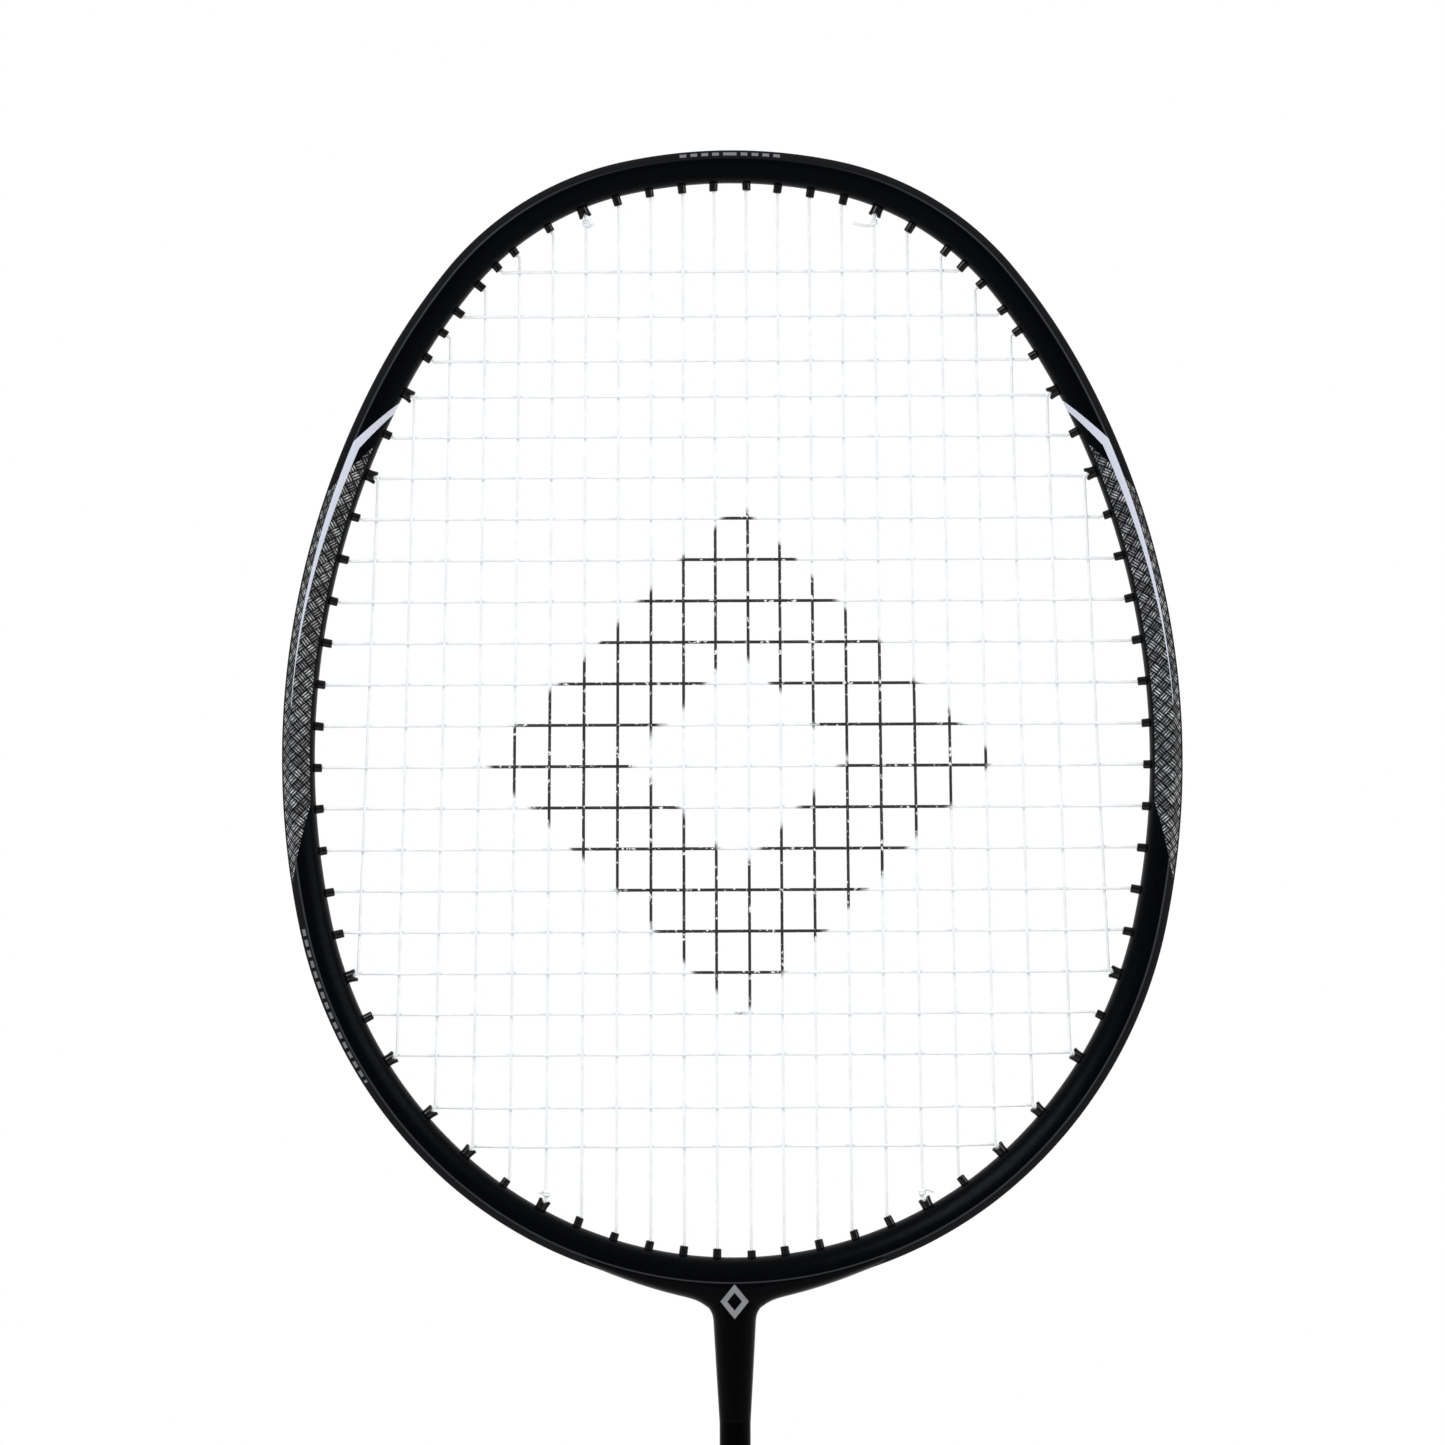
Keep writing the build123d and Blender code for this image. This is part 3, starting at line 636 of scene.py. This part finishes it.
# the mouth of a shared grommet is cut down in the middle, so two lips stand along the hoop
def splitMouth(verts, place):
    inverse = place.inverted()
    for vert in verts:
        local = inverse @ vert.co
        if local.z < -halfRim - grommet["split"]:
            turn = math.atan2(local.x, local.y)
            local.z += 0.75 * max(0.0, abs(math.sin(turn)) - 0.75) / 0.25
            local.y *= 1.1
            vert.co = place @ local


grommetSets = [
    ("topGrommets", bothSides(topSingle), False, "top_grommets"),
    ("bottomGrommets", bothSides(bottomSingle), False, "bottom_grommets"),
    ("leftGrommets", [-place for place in rowSingle], False, "left_grommets"),
    ("rightGrommets", rowSingle, False, "right_grommets"),
    ("sharedLeft", [-place for place in sharedPlaces], True, "shared_grommets_left"),
    ("sharedRight", sharedPlaces, True, "shared_grommets_right"),
    ("tieOffGrommets", bothSides(tiePlaces), True, "tie_off_grommets"),
]
for name, places, double, node in grommetSets:
    addPiece(name, buildGrommets(places, double), nylon, [node], grommet["sharp"])


# strips beside the throat: a plate in the channel and four barrels
strip = {"start": 2.4, "end": 31.0, "half": 1.6, "steps": 24, "lean": 0.08}


def buildStrip(side):
    bm = bmesh.new()
    x, z, radius, start, turn = rimArcs[-1]
    floor, top, half = hoop["channelFloor"], hoop["channelFloor"] + grommet["flange"], strip["half"]
    first = side * (rimLength - strip["start"])
    corners = [(floor, -half), (top, -half), (top, half), (floor, half)]
    ring = ringVerts(bm, [rimPlace(first, outward, across) for outward, across in corners])
    bm.faces.new(onlyVerts(ring))
    angle = -side * (strip["end"] - strip["start"]) / radius
    around = {"cent": (side * x, 0, z), "axis": (0, 1, 0), "angle": angle, "steps": strip["steps"]}
    made = bmesh.ops.spin(bm, geom=ring, **around)
    bm.faces.new(onlyVerts(made["geom_last"]))
    for distance in stripPlaces:
        place = rimMatrix(side * distance)
        verts = addLathe(bm, singleProfile(random.uniform(*grommet["reach"])), grommet["segments"], place)
        leanTip(verts, place, (0.0, random.uniform(-strip["lean"], strip["lean"])))
    return bm


for side, end in ((-1, "left"), (1, "right")):
    name = "throatStrip" + end.title()
    addPiece(name, buildStrip(side), nylon, ["throat_strip_" + end], grommet["sharp"])
print("grommets and strips done")

# strings
stringLook = {
    "color": (0.80, 0.83, 0.85),
    "pale": (0.87, 0.89, 0.90),
    "ink": (0.006, 0.006, 0.007),
    "roughness": 0.32,
    "inkRoughness": 0.5,
    "center": (0.0015, 0.5385),     # middle of the stencil on the string bed
    "reach": (0.059, 0.059),
    "hollow": 0.42,
    "wander": 0.10,     # how much the edge of the stencil strays
}


def shareOf(tree, value, center, reach):
    return calc(tree, "DIVIDE", calc(tree, "ABSOLUTE", minus(tree, value, center)), reach)


def stringFinish():
    finish, tree, shader = newFinish("stringNylon", stringLook["color"], stringLook["roughness"], 0.5)
    place = objectPlace(tree)
    x, y, z = splitPlace(tree, place)
    (centerX, centerZ), (reachX, reachZ) = stringLook["center"], stringLook["reach"]
    size = calc(tree, "ADD", shareOf(tree, x, centerX, reachX), shareOf(tree, z, centerZ, reachZ))
    wander, hollow = stringLook["wander"], stringLook["hollow"]
    size = calc(tree, "MULTIPLY_ADD", noise(tree, place, 160, 3.0), wander, minus(tree, size, wander / 2))
    outside = ramp(tree, size, 1.0, 0.0, 0.96, 1.0)
    inside = ramp(tree, size, 0.0, 1.0, hollow - 0.03, hollow + 0.02)
    wear = ramp(tree, noise(tree, place, 900, 2.0), 0.0, 1.0, 0.30, 0.42)
    ink = times(tree, times(tree, outside, inside), wear)
    patches = ramp(tree, noise(tree, place, 300), 0.0, 1.0, 0.35, 0.65)
    tint = mixColor(tree, patches, stringLook["color"], stringLook["pale"])
    tree.links.new(mixColor(tree, ink, tint, stringLook["ink"]), shader.inputs["Base Color"])
    gloss = ramp(tree, ink, stringLook["roughness"], stringLook["inkRoughness"])
    tree.links.new(gloss, shader.inputs["Roughness"])
    addBump(tree, shader, noise(tree, place, 2500), 0.08, 0.0001)
    return finish


stringWhite = stringFinish()


def addString(name, runs, nodes, radius=None):
    curve = bpy.data.curves.new(name, "CURVE")
    curve.dimensions = "3D"
    curve.bevel_depth = (radius or bed["thickness"] / 2) * mm
    curve.bevel_resolution = 2
    curve.resolution_u = 1
    curve.use_fill_caps = True
    for points in runs:
        spline = curve.splines.new("POLY")
        spline.points.add(len(points) - 1)
        for target, point in zip(spline.points, points):
            target.co = (point.x * mm, point.y * mm, point.z * mm, 1)
        spline.use_smooth = True
    curve.materials.append(stringWhite)
    return settle(bpy.data.objects.new(name, curve), nodes)


def boreAcross(place, family):
    return family * bed["boreLane"] if abs(place) in doublePlaces else 0.0


def bendPlace(place, across):
    return rimPlace(place, -bed["bend"], across)


# where an end comes out of its tie-off grommet
def tieEnd(place, past=0.7):
    return rimPlace(place, -bed["bend"] - past, bed["boreLane"])


def mainEnds(side, number):
    top = bendPlace(side * mainTop[number], boreAcross(mainTop[number], -1))
    bottom = bendPlace(side * mainBottom[number], boreAcross(mainBottom[number], -1))
    return top, bottom


columns = [(-1, k) for k in reversed(mains)] + [(1, k) for k in mains]


def crossing(column, row):
    side, number = columns[column]
    top, bottom = mainEnds(side, number)
    height = rowHeight[row]
    x = top.x + (top.z - height) / (top.z - bottom.z) * (bottom.x - top.x)
    reach = abs(bendPlace(rowHole[row], 0).x)
    clear = bottom.z + bed["margin"] < height < top.z - bed["margin"] and abs(x) < reach - bed["margin"]
    front = 1 if (column + row) % 2 else -1
    return Vector((x, front * bed["weave"], height)) if clear else None


# from one crossing to the next a string sways smoothly over and under
def sway(points):
    path = [points[0]]
    for first, last in zip(points, points[1:]):
        for t in (0.12, 0.3, 0.5, 0.7, 0.88):
            point = first.lerp(last, t)
            point.y = first.y + (last.y - first.y) * (1 - math.cos(math.pi * t)) / 2
            path.append(point)
        path.append(last)
    return path


def channelRun(start, end, family, level, startAcross, endAcross):
    direction = 1 if end > start else -1
    first, last = start + direction * bed["turnIn"], end - direction * bed["turnIn"]
    count = max(1, math.ceil(abs(last - first) / 3.0))
    run = [rimPlace(start, level, startAcross)]
    between = [first + (last - first) * step / count for step in range(count + 1)]
    run += [rimPlace(place, level, family * bed["lane"]) for place in between]
    return run + [rimPlace(end, level, endAcross)]


# tight corners at the hoop get a small round
def roundCorners(path, radius=0.55):
    rounded = [path[0]]
    for before, corner, after in zip(path, path[1:], path[2:]):
        arrive, leave = corner - before, after - corner
        if arrive.angle(leave) < math.radians(25):
            rounded.append(corner)
            continue
        reach = min(radius, 0.45 * arrive.length, 0.45 * leave.length)
        entry, leaving = corner - arrive.normalized() * reach, corner + leave.normalized() * reach
        rounded += [entry.lerp(corner, t).lerp(corner.lerp(leaving, t), t) for t in (0.0, 0.33, 0.67, 1.0)]
    return rounded + [path[-1]]


def mainPath():
    path = []
    tie = -mainBottom[bed["tieBottom"]]
    loopStart = tie
    for column, (side, number) in enumerate(columns):
        goingUp = column % 2 == 0
        entered, leftBy = (mainBottom, mainTop) if goingUp else (mainTop, mainBottom)
        place = side * entered[number]
        if column == 0:
            path.append(tieEnd(tie))
            path += channelRun(tie, place, -1, bed["upperLevel"], bed["boreLane"], boreAcross(place, -1))
        else:
            startAcross = boreAcross(loopStart, -1)
            path += channelRun(loopStart, place, -1, bed["lowerLevel"], startAcross, boreAcross(place, -1))
        top, bottom = mainEnds(side, number)
        inner = sway([top] + [point for point in (crossing(column, row) for row in rows) if point] + [bottom])
        path += reversed(inner) if goingUp else inner
        loopStart = side * leftBy[number]
    path += channelRun(loopStart, -tie, -1, bed["upperLevel"], boreAcross(loopStart, -1), bed["boreLane"])
    path.append(tieEnd(-tie))
    return path


def crossPath():
    tie = mainTop[bed["tieTop"]]
    path = [tieEnd(tie)]
    loopStart = tie
    for row in rows:
        side = 1 if row % 2 else -1
        place = rowHole[row]
        across = boreAcross(place, 1)
        startAcross = bed["boreLane"] if row == 1 else boreAcross(loopStart, 1)
        path += channelRun(loopStart, side * place, 1, bed["lowerLevel"], startAcross, across)
        run = [point for point in (crossing(column, row) for column in range(len(columns))) if point]
        run = [Vector((point.x, -point.y, point.z)) for point in run]
        inner = sway([bendPlace(-place, across)] + run + [bendPlace(place, across)])
        path += reversed(inner) if side == 1 else inner
        loopStart = -side * place
    path += channelRun(loopStart, -tie, 1, bed["upperLevel"], boreAcross(loopStart, 1), bed["boreLane"])
    path.append(tieEnd(-tie))
    return path


addString("mainString", [roundCorners(mainPath())], ["main_string"])
addString("crossString", [roundCorners(crossPath())], ["cross_string"])
print("strings laced")

# tie-off knots: wraps round the neighbouring main, and a cut tail
knot = {
    "wraps": 2.0,
    "pitch": 0.62,
    "radius": 0.60,
    "start": 0.45,
    "steps": 14,
    "thread": 0.34,     # half the thickness of the string where it is pulled tight
    # length of the cut tail, by side and by end
    "tails": {(-1, 0): 1.6, (1, 0): 4.6, (-1, 1): 1.4, (1, 1): 2.6},
}


def knotRun(side, end):
    number = bed["tieBottom"] if end else bed["tieTop"]
    hole = (mainBottom if end else mainTop)[number] * side
    top, bottom = mainEnds(side, number)
    start = bottom if end else top
    along = ((top - bottom) if end else (bottom - top)).normalized()
    depthways = Vector((0, 1, 0))
    sideways = along.cross(depthways).normalized()
    path = [tieEnd(hole, 0.3)]
    steps = knot["steps"]
    for step in range(int(knot["wraps"] * steps) + 1):
        angle = math.tau * step / steps
        base = start + along * (knot["start"] + knot["pitch"] * step / steps)
        swell = knot["radius"] * (1 + 0.10 * math.sin(2.3 * angle + side))
        path.append(base + (depthways * math.cos(angle) + sideways * math.sin(angle) * side) * swell)
    last = path[-1]
    tail = knot["tails"][(side, end)]
    for share in (0.25, 0.55, 1.0):
        aside, onward = sideways * side * -tail * share, along * (0.5 - 1.1 * share) * share
        path.append(last + aside + onward + Vector((0, -0.5 * share, 0)))
    return path


for name, end, node in (("mainKnots", 1, "main_string_knots"), ("crossKnots", 0, "cross_string_knots")):
    addString(name, [knotRun(-1, end), knotRun(1, end)], [node], knot["thread"])
print("knots tied")

# throat: a cone that flares into a saddle under the hoop, with a small plain silver mark
throat = {
    "length": 30.5,
    "segments": 32,
    # half the width and half the depth of the cone, by height above its foot and by height under the hoop
    "foot": [(0.0, 3.48, 3.48), (1.0, 3.52, 3.52), (2.4, 3.6, 3.6), (11.0, 4.1, 4.1)],
    "neck": [
        (8.5, 4.72, 4.72), (6.8, 4.78, 4.75), (5.6, 4.98, 4.75), (4.7, 5.4, 4.75), (4.0, 5.9, 4.7),
        (3.2, 6.3, 4.6), (-1.6, 6.0, 4.4),
    ],
    "swell": 1.006,         # makes up for what smoothing takes off
    # how far the skin hangs below the hoop, by distance from the middle
    "skin": [
        (0.0, 5.6), (4.6, 5.0), (6.0, 3.8), (7.5, 2.9), (9.5, 2.35), (11.5, 2.1), (17.4, 1.4), (22.0, 0.9),
        (27.0, 0.4), (34.0, -0.1),
    ],
    "skinHalf": (5.02, 4.2),        # half its depth outside, and inside the hoop
    "mark": (0.22, 0.225, 0.23),
    "markHeight": 417.0,
    "markReach": (3.2, 3.9),
    "markLine": 0.52,
    "roughness": (0.16, 0.26),
}
hoopBottom = rimPlace(rimLength, halfRim).z


def throatFinish():
    finish, tree, shader = newFinish("throatLacquer", paint["black"], 0.2, 0.03)
    place = objectPlace(tree)
    x, y, z = splitPlace(tree, place)
    scaleX, scaleZ = [1000 / reach for reach in throat["markReach"]]
    reachX = calc(tree, "ABSOLUTE", times(tree, x, scaleX))
    reachZ = calc(tree, "ABSOLUTE", times(tree, minus(tree, z, throat["markHeight"] * mm), scaleZ))
    size = calc(tree, "ADD", reachX, reachZ)
    mark = times(tree, lessThan(tree, size, 1.0), moreThan(tree, size, throat["markLine"]))
    tree.links.new(mixColor(tree, mark, paint["black"], throat["mark"]), shader.inputs["Base Color"])
    varyGloss(tree, shader, noise(tree, place, 500), *throat["roughness"])
    return finish


def ellipseRing(bm, height, halfX, halfY, segments):
    matrix = Matrix.Translation((0, 0, height)) @ Matrix.Diagonal((halfX, halfY, 1, 1))
    made = bmesh.ops.create_circle(bm, segments=segments, radius=1.0, matrix=matrix)
    return list({edge for vert in made["verts"] for edge in vert.link_edges})


def bridgeRings(bm, rings, closed=(True, True)):
    for first, second in zip(rings, rings[1:]):
        bmesh.ops.bridge_loops(bm, edges=first + second)
    for ring, close in zip((rings[0], rings[-1]), closed):
        if close:
            bmesh.ops.contextual_create(bm, geom=ring)


def skinDrop(distance):
    for (near, high), (far, low) in zip(throat["skin"], throat["skin"][1:]):
        if near <= abs(distance) <= far:
            return high + (low - high) * (abs(distance) - near) / (far - near)
    return throat["skin"][-1][1]


# one ring of the skin: from the front ridge round the underside to the back ridge, closed inside the hoop
def skinRing(bm, distance):
    place = math.copysign(rimLength - abs(distance), distance)
    hang = halfRim - ridge - 0.1 + skinDrop(distance)
    outerHalf, innerHalf = throat["skinHalf"]
    points = []
    for step in range(17):
        turn = math.pi * (step / 16 - 0.5)
        points.append(rimPlace(place, ridge + 0.1 + hang * math.cos(turn), outerHalf * math.sin(turn)))
    points += [rimPlace(place, 0.0, innerHalf), rimPlace(place, 0.0, -innerHalf)]
    return onlyEdges(ringVerts(bm, points))


def buildThroat():
    bm = bmesh.new()
    low = hoopBottom - throat["length"]
    stations = [(low + height, x, y) for height, x, y in throat["foot"]]
    stations += [(hoopBottom - height, x, y) for height, x, y in throat["neck"]]
    swell, segments = throat["swell"], throat["segments"]
    bridgeRings(bm, [ellipseRing(bm, height, x * swell, y * swell, segments) for height, x, y in stations])
    reach = throat["skin"][-1][0]
    bridgeRings(bm, [skinRing(bm, -reach + 2 * reach * step / 46) for step in range(47)])
    return bm


throatPiece = addPiece("throat", buildThroat(), throatFinish(), ["throat_joint"])
smooth = throatPiece.modifiers.new("smooth", "SUBSURF")
smooth.levels = smooth.render_levels = 1
print("throat shaped")

# shaft and cone
shaft = {
    "radius": 3.5,
    "bottom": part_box("shaft")[0].z / mm,
    "top": hoopBottom - throat["length"] + 1.2,
    "segments": 64,
}
cone = {
    "bottom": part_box("handle_cone")[0].z / mm,
    "top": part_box("handle_cone")[1].z / mm,
    "footRadius": 12.43,
    "topRadius": 4.4,
    "collar": 3.0,
    "waist": 0.42,          # height and radius of the waist, as shares of the cone's height and foot
    "waistRadius": 0.64,
    # how the outline leaves the collar, passes the waist and meets the tip
    "pulls": ((-1.0, 6.6), (1.6, -4.6), (0.4, -9.0)),
    "edge": 0.3,
    "bore": 3.52,
    "socket": (9.2, 6.0),   # radius and depth of the hollow in its foot
    "segments": 64,
}


def buildShaft():
    bm = bmesh.new()
    radius, segments = shaft["radius"], shaft["segments"]
    bridgeRings(bm, [ellipseRing(bm, shaft[end], radius, radius, segments) for end in ("bottom", "top")])
    return bm


def curvePoints(a, b, c, d, steps=12):
    points = []
    for t in [step / steps for step in range(steps)]:
        left = 1 - t
        points.append(tuple(a * left ** 3 + b * 3 * t * left ** 2 + c * 3 * t * t * left + d * t ** 3))
    return points


def buildCone():
    bm = bmesh.new()
    bottom, top, edge, bore = cone["bottom"], cone["top"], cone["edge"], cone["bore"]
    foot, tip = cone["footRadius"], cone["topRadius"]
    wide, deep = cone["socket"]
    leave, through, arrive = [Vector(pull) for pull in cone["pulls"]]
    start = Vector((foot, bottom + cone["collar"]))
    waist = Vector((cone["waistRadius"] * foot, bottom + cone["waist"] * (top - bottom)))
    end = Vector((tip, top - edge))
    profile = [(wide, bottom), (foot - edge, bottom), (foot, bottom + edge)]
    profile += curvePoints(start, start + leave, waist + through, waist)
    profile += curvePoints(waist, waist - through, end + arrive, end)
    profile += [(tip, top - edge), (tip - 0.25, top), (bore, top)]
    profile += [(bore, bottom + deep), (wide, bottom + deep)]
    addLathe(bm, profile, cone["segments"], Matrix.Identity(4))
    return bm


addPiece("shaftTube", buildShaft(), shaftLacquer, ["shaft"], 40)
addPiece("handleCone", buildCone(), plastic, ["handle_cone"], 40)
print("shaft and cone done")

# handle: eight flats, a wound grip, its end tape and the butt
grip = {
    "width": 26.0,
    "depth": 23.8,
    "bevel": 7.16,
    "rounding": 2.0,
    "bottom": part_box("grip_wrap")[0].z / mm,
    "top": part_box("grip_wrap")[1].z / mm,
    "lap": 25.0,        # rise of one turn of the tape
    "ridge": 0.42,      # how far an overlap stands out
    "lapFade": 9,
    "groove": (0.35, 0.03, 30),     # depth beside the overlap, place after it, and narrowness
    "dotsAround": 22,   # small perforations of the tape
    "dotsPerLap": 7,
    "corner": 0.45,
    "leather": (0.006, 0.006, 0.0065),
    "worn": (0.011, 0.011, 0.012),
    "pit": (0.0008, 0.0008, 0.0008),
}


def octagonRing(width, depth, bevel, rounding, steps):
    corners = []
    faceX, sideY = width / 2 - bevel, depth / 2 - bevel
    for sx, sy, swap in ((1, 1, False), (-1, 1, True), (-1, -1, False), (1, -1, True)):
        pair = [Vector((sx * width / 2, sy * sideY)), Vector((sx * faceX, sy * depth / 2))]
        corners += reversed(pair) if swap else pair
    points = []
    for index, corner in enumerate(corners):
        before, after = corners[index - 1], corners[(index + 1) % 8]
        start = corner + (before - corner).normalized() * rounding * grip["corner"]
        end = corner + (after - corner).normalized() * rounding * grip["corner"]
        points += softCorner(start, corner, end, 3)
        nextStart = after + (corner - after).normalized() * rounding * grip["corner"]
        points += [end.lerp(nextStart, s / steps) for s in range(1, steps)]
    return points


def gripFinish():
    finish, tree, shader = newFinish("gripLeather", grip["leather"], 0.62, 0.2)
    place = objectPlace(tree)
    x, y, z = splitPlace(tree, place)
    turn = calc(tree, "DIVIDE", calc(tree, "ARCTAN2", y, x), math.tau)
    laps = minus(tree, times(tree, z, 1 / (mm * grip["lap"])), turn)
    seam = calc(tree, "PINGPONG", minus(tree, laps, grip["bottom"] / grip["lap"]), 0.5)
    seam = ramp(tree, seam, 1.0, 0.0, 0.006, 0.035)
    dotX = minus(tree, calc(tree, "FRACT", times(tree, turn, grip["dotsAround"])), 0.5)
    dotY = minus(tree, calc(tree, "FRACT", times(tree, laps, grip["dotsPerLap"])), 0.5)
    apart = calc(tree, "SQRT", calc(tree, "ADD", times(tree, dotX, dotX), times(tree, dotY, dotY)))
    hole = either(tree, ramp(tree, apart, 1.0, 0.0, 0.10, 0.16), seam)
    height = minus(tree, times(tree, noise(tree, place, 1400, 3.0), 0.35), hole)
    addBump(tree, shader, height, 0.6, 0.0005)
    worn = ramp(tree, noise(tree, place, 60), 0.0, 0.5, 0.3, 0.7)
    leather = mixColor(tree, worn, grip["leather"], grip["worn"])
    tree.links.new(mixColor(tree, hole, leather, grip["pit"]), shader.inputs["Base Color"])
    varyGloss(tree, shader, noise(tree, place, 200), 0.45, 0.68)
    return finish


def risenRing(bm, points, levels):
    ring = ringVerts(bm, [Vector((point.x, point.y, levels[0])) for point in points])
    for low, high in zip(levels, levels[1:]):
        edges = onlyEdges(ring)
        ring = bmesh.ops.extrude_edge_only(bm, edges=edges)["geom"]
        bmesh.ops.translate(bm, vec=(0, 0, high - low), verts=onlyVerts(ring))
    return ring


def closeEnds(bm):
    bmesh.ops.holes_fill(bm, edges=[edge for edge in bm.edges if edge.is_boundary], sides=0)


def buildGrip():
    bm = bmesh.new()
    points = octagonRing(grip["width"], grip["depth"], grip["bevel"], grip["rounding"], 8)
    count = round((grip["top"] - grip["bottom"]) / 0.8)
    levels = [grip["bottom"] + (grip["top"] - grip["bottom"]) * step / count for step in range(count + 1)]
    risenRing(bm, points, levels)
    share, after, narrow = grip["groove"]
    for vert in bm.verts:
        turn = math.atan2(vert.co.y, vert.co.x) / math.tau
        phase = ((vert.co.z - grip["bottom"]) / grip["lap"] - turn) % 1.0
        # the overlapping edge stands proud, with a groove just past it
        edge = grip["ridge"] * math.exp(-((1 - phase) * grip["lapFade"]))
        groove = share * grip["ridge"] * math.exp(-((phase - after) * narrow) ** 2)
        flat = Vector((vert.co.x, vert.co.y, 0))
        vert.co += flat.normalized() * (edge - groove)
    closeEnds(bm)
    return bm


# one outline of the handle, grown by so much all round
def handleRing(bm, height, grown, bevel=0.0, rounding=0.0):
    width, depth = grip["width"] + 2 * grown, grip["depth"] + 2 * grown
    outline = octagonRing(width, depth, grip["bevel"] + bevel, grip["rounding"] + rounding, 8)
    return onlyEdges(ringVerts(bm, [Vector((point.x, point.y, height)) for point in outline]))


tape = {"edge": 0.15, "skin": 0.42, "round": 0.1}


def buildTape():
    bm = bmesh.new()
    low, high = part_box("finishing_tape")[0].z / mm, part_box("finishing_tape")[1].z / mm
    edge, skin, rise = tape["edge"], tape["skin"], tape["round"]
    levels = ((low, edge), (low + rise, skin), (high - rise, skin), (high, edge))
    bridgeRings(bm, [handleRing(bm, height, grown) for height, grown in levels])
    return bm


# butt: the cap swells past the grip and has a softened edge
butt = {
    "levels": [(0.0, 1.2), (0.35, 1.9), (1.2, 2.4), (5.0, 2.5), (9.0, 1.7), (13.5, 0.5), (15.0, 0.1)],
    "inset": 2.2,
    "badge": 8.0,
    # the badge from its middle out: how far in from its edge, and how high
    "steps": [(2.2, -0.02), (2.0, 0.12), (1.6, 0.12), (1.4, -0.02), (0.15, -0.02), (0.0, 0.15), (0.0, 1.0)],
}


def buildButt():
    bm = bmesh.new()
    bridgeRings(bm, [handleRing(bm, height, flare, 0.6 * flare, flare) for height, flare in butt["levels"]])
    bottom = min(bm.faces, key=lambda face: face.calc_center_median().z)
    bmesh.ops.inset_region(bm, faces=[bottom], thickness=butt["inset"], use_even_offset=True)
    return bm


def buildBadge():
    bm = bmesh.new()
    steps = [(butt["badge"] - inset, height) for inset, height in butt["steps"]]
    addLathe(bm, [(0.001, -0.02)] + steps + [(0.001, 1.0)], 64, Matrix.Identity(4))
    return bm


addPiece("gripTape", buildGrip(), gripFinish(), ["grip_wrap"], 50)
addPiece("endTape", buildTape(), tapeVinyl, ["finishing_tape"], 40)
addPiece("buttCap", buildButt(), plastic, ["butt_cap"], 45)
addPiece("buttBadge", buildBadge(), badgePlastic, ["butt_badge"], 35)
print("handle done")


# hidden pieces keep their own solids
def woodFinish():
    finish, tree, shader = newFinish("handleWood", (0.45, 0.30, 0.17), 0.6)
    x, y, z = splitPlace(tree, objectPlace(tree))
    stretched = tree.nodes.new("ShaderNodeCombineXYZ")
    tree.links.new(x, stretched.inputs[0])
    tree.links.new(y, stretched.inputs[1])
    tree.links.new(times(tree, z, 0.06), stretched.inputs[2])
    grain = noise(tree, stretched.outputs[0], 500, 4.0)
    tree.links.new(mixColor(tree, grain, (0.50, 0.34, 0.20), (0.32, 0.20, 0.11)), shader.inputs["Base Color"])
    return finish


for node, finish in (("handle_core", woodFinish()), ("t_insert", resin), ("grip_staples", steel)):
    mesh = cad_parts[node].data
    mesh.materials.clear()
    mesh.materials.append(finish)

# studio: pale floor, white surround and two soft lights
studio = {
    "distance": 1.8,
    "field": 0.3244,
    "center": (-0.00217, 0.5467),
    "roll": 0.242,
    "surround": (0.40, 1.0),        # strength straight behind the camera, and everywhere else
    "surroundEdge": (-0.85, -0.1),
    "floor": 1.4,
    # place, energy, size and color
    "lights": {
        "key": ((-1.0, -1.3, 1.7), 20.0, 0.9, (0.95, 0.97, 1.0)),
        "fill": ((1.3, -0.8, 1.1), 9.0, 0.9, (1.0, 0.98, 0.96)),
    },
}


def buildFloor():
    bm = bmesh.new()
    bmesh.ops.create_grid(bm, x_segments=1, y_segments=1, size=studio["floor"])
    mesh = bpy.data.meshes.new("floor")
    bm.to_mesh(mesh)
    bm.free()
    mesh.materials.append(plainFinish("floorPaint", (0.78, 0.78, 0.78), 0.7, 0.2, grain=40, relief=0.01))
    floor = bpy.data.objects.new("floor", mesh)
    bpy.context.scene.collection.objects.link(floor)


def addLight(name, place, energy, size, color):
    light = bpy.data.lights.new(name, "AREA")
    light.energy, light.size, light.color = energy, size, color
    lamp = bpy.data.objects.new(name, light)
    bpy.context.scene.collection.objects.link(lamp)
    lamp.location = place
    lamp.rotation_euler = (Vector((0, 0, 0.5)) - Vector(place)).to_track_quat("-Z", "Y").to_euler()


def addCamera():
    camera = bpy.data.objects.new("camera", bpy.data.cameras.new("camera"))
    bpy.context.scene.collection.objects.link(camera)
    camera.data.lens = camera.data.sensor_width * studio["distance"] / studio["field"]
    camera.data.clip_end = 50
    camera.location = (studio["center"][0], -studio["distance"], studio["center"][1])
    camera.rotation_euler = (math.radians(90), math.radians(studio["roll"]), 0)
    bpy.context.scene.camera = camera


buildFloor()
world = bpy.data.worlds.new("surround")
world.use_nodes = True
sky = world.node_tree.nodes["Background"]
sky.inputs["Color"].default_value = (1, 1, 1, 1)
skyTree = world.node_tree
facing = splitPlace(skyTree, skyTree.nodes.new("ShaderNodeTexCoord").outputs["Generated"])[1]
strength = ramp(skyTree, facing, *studio["surround"], *studio["surroundEdge"])
skyTree.links.new(strength, sky.inputs["Strength"])
bpy.context.scene.world = world
bpy.context.scene.view_settings.view_transform = "Standard"
for name, values in studio["lights"].items():
    addLight(name, *values)
addCamera()
print("studio ready")
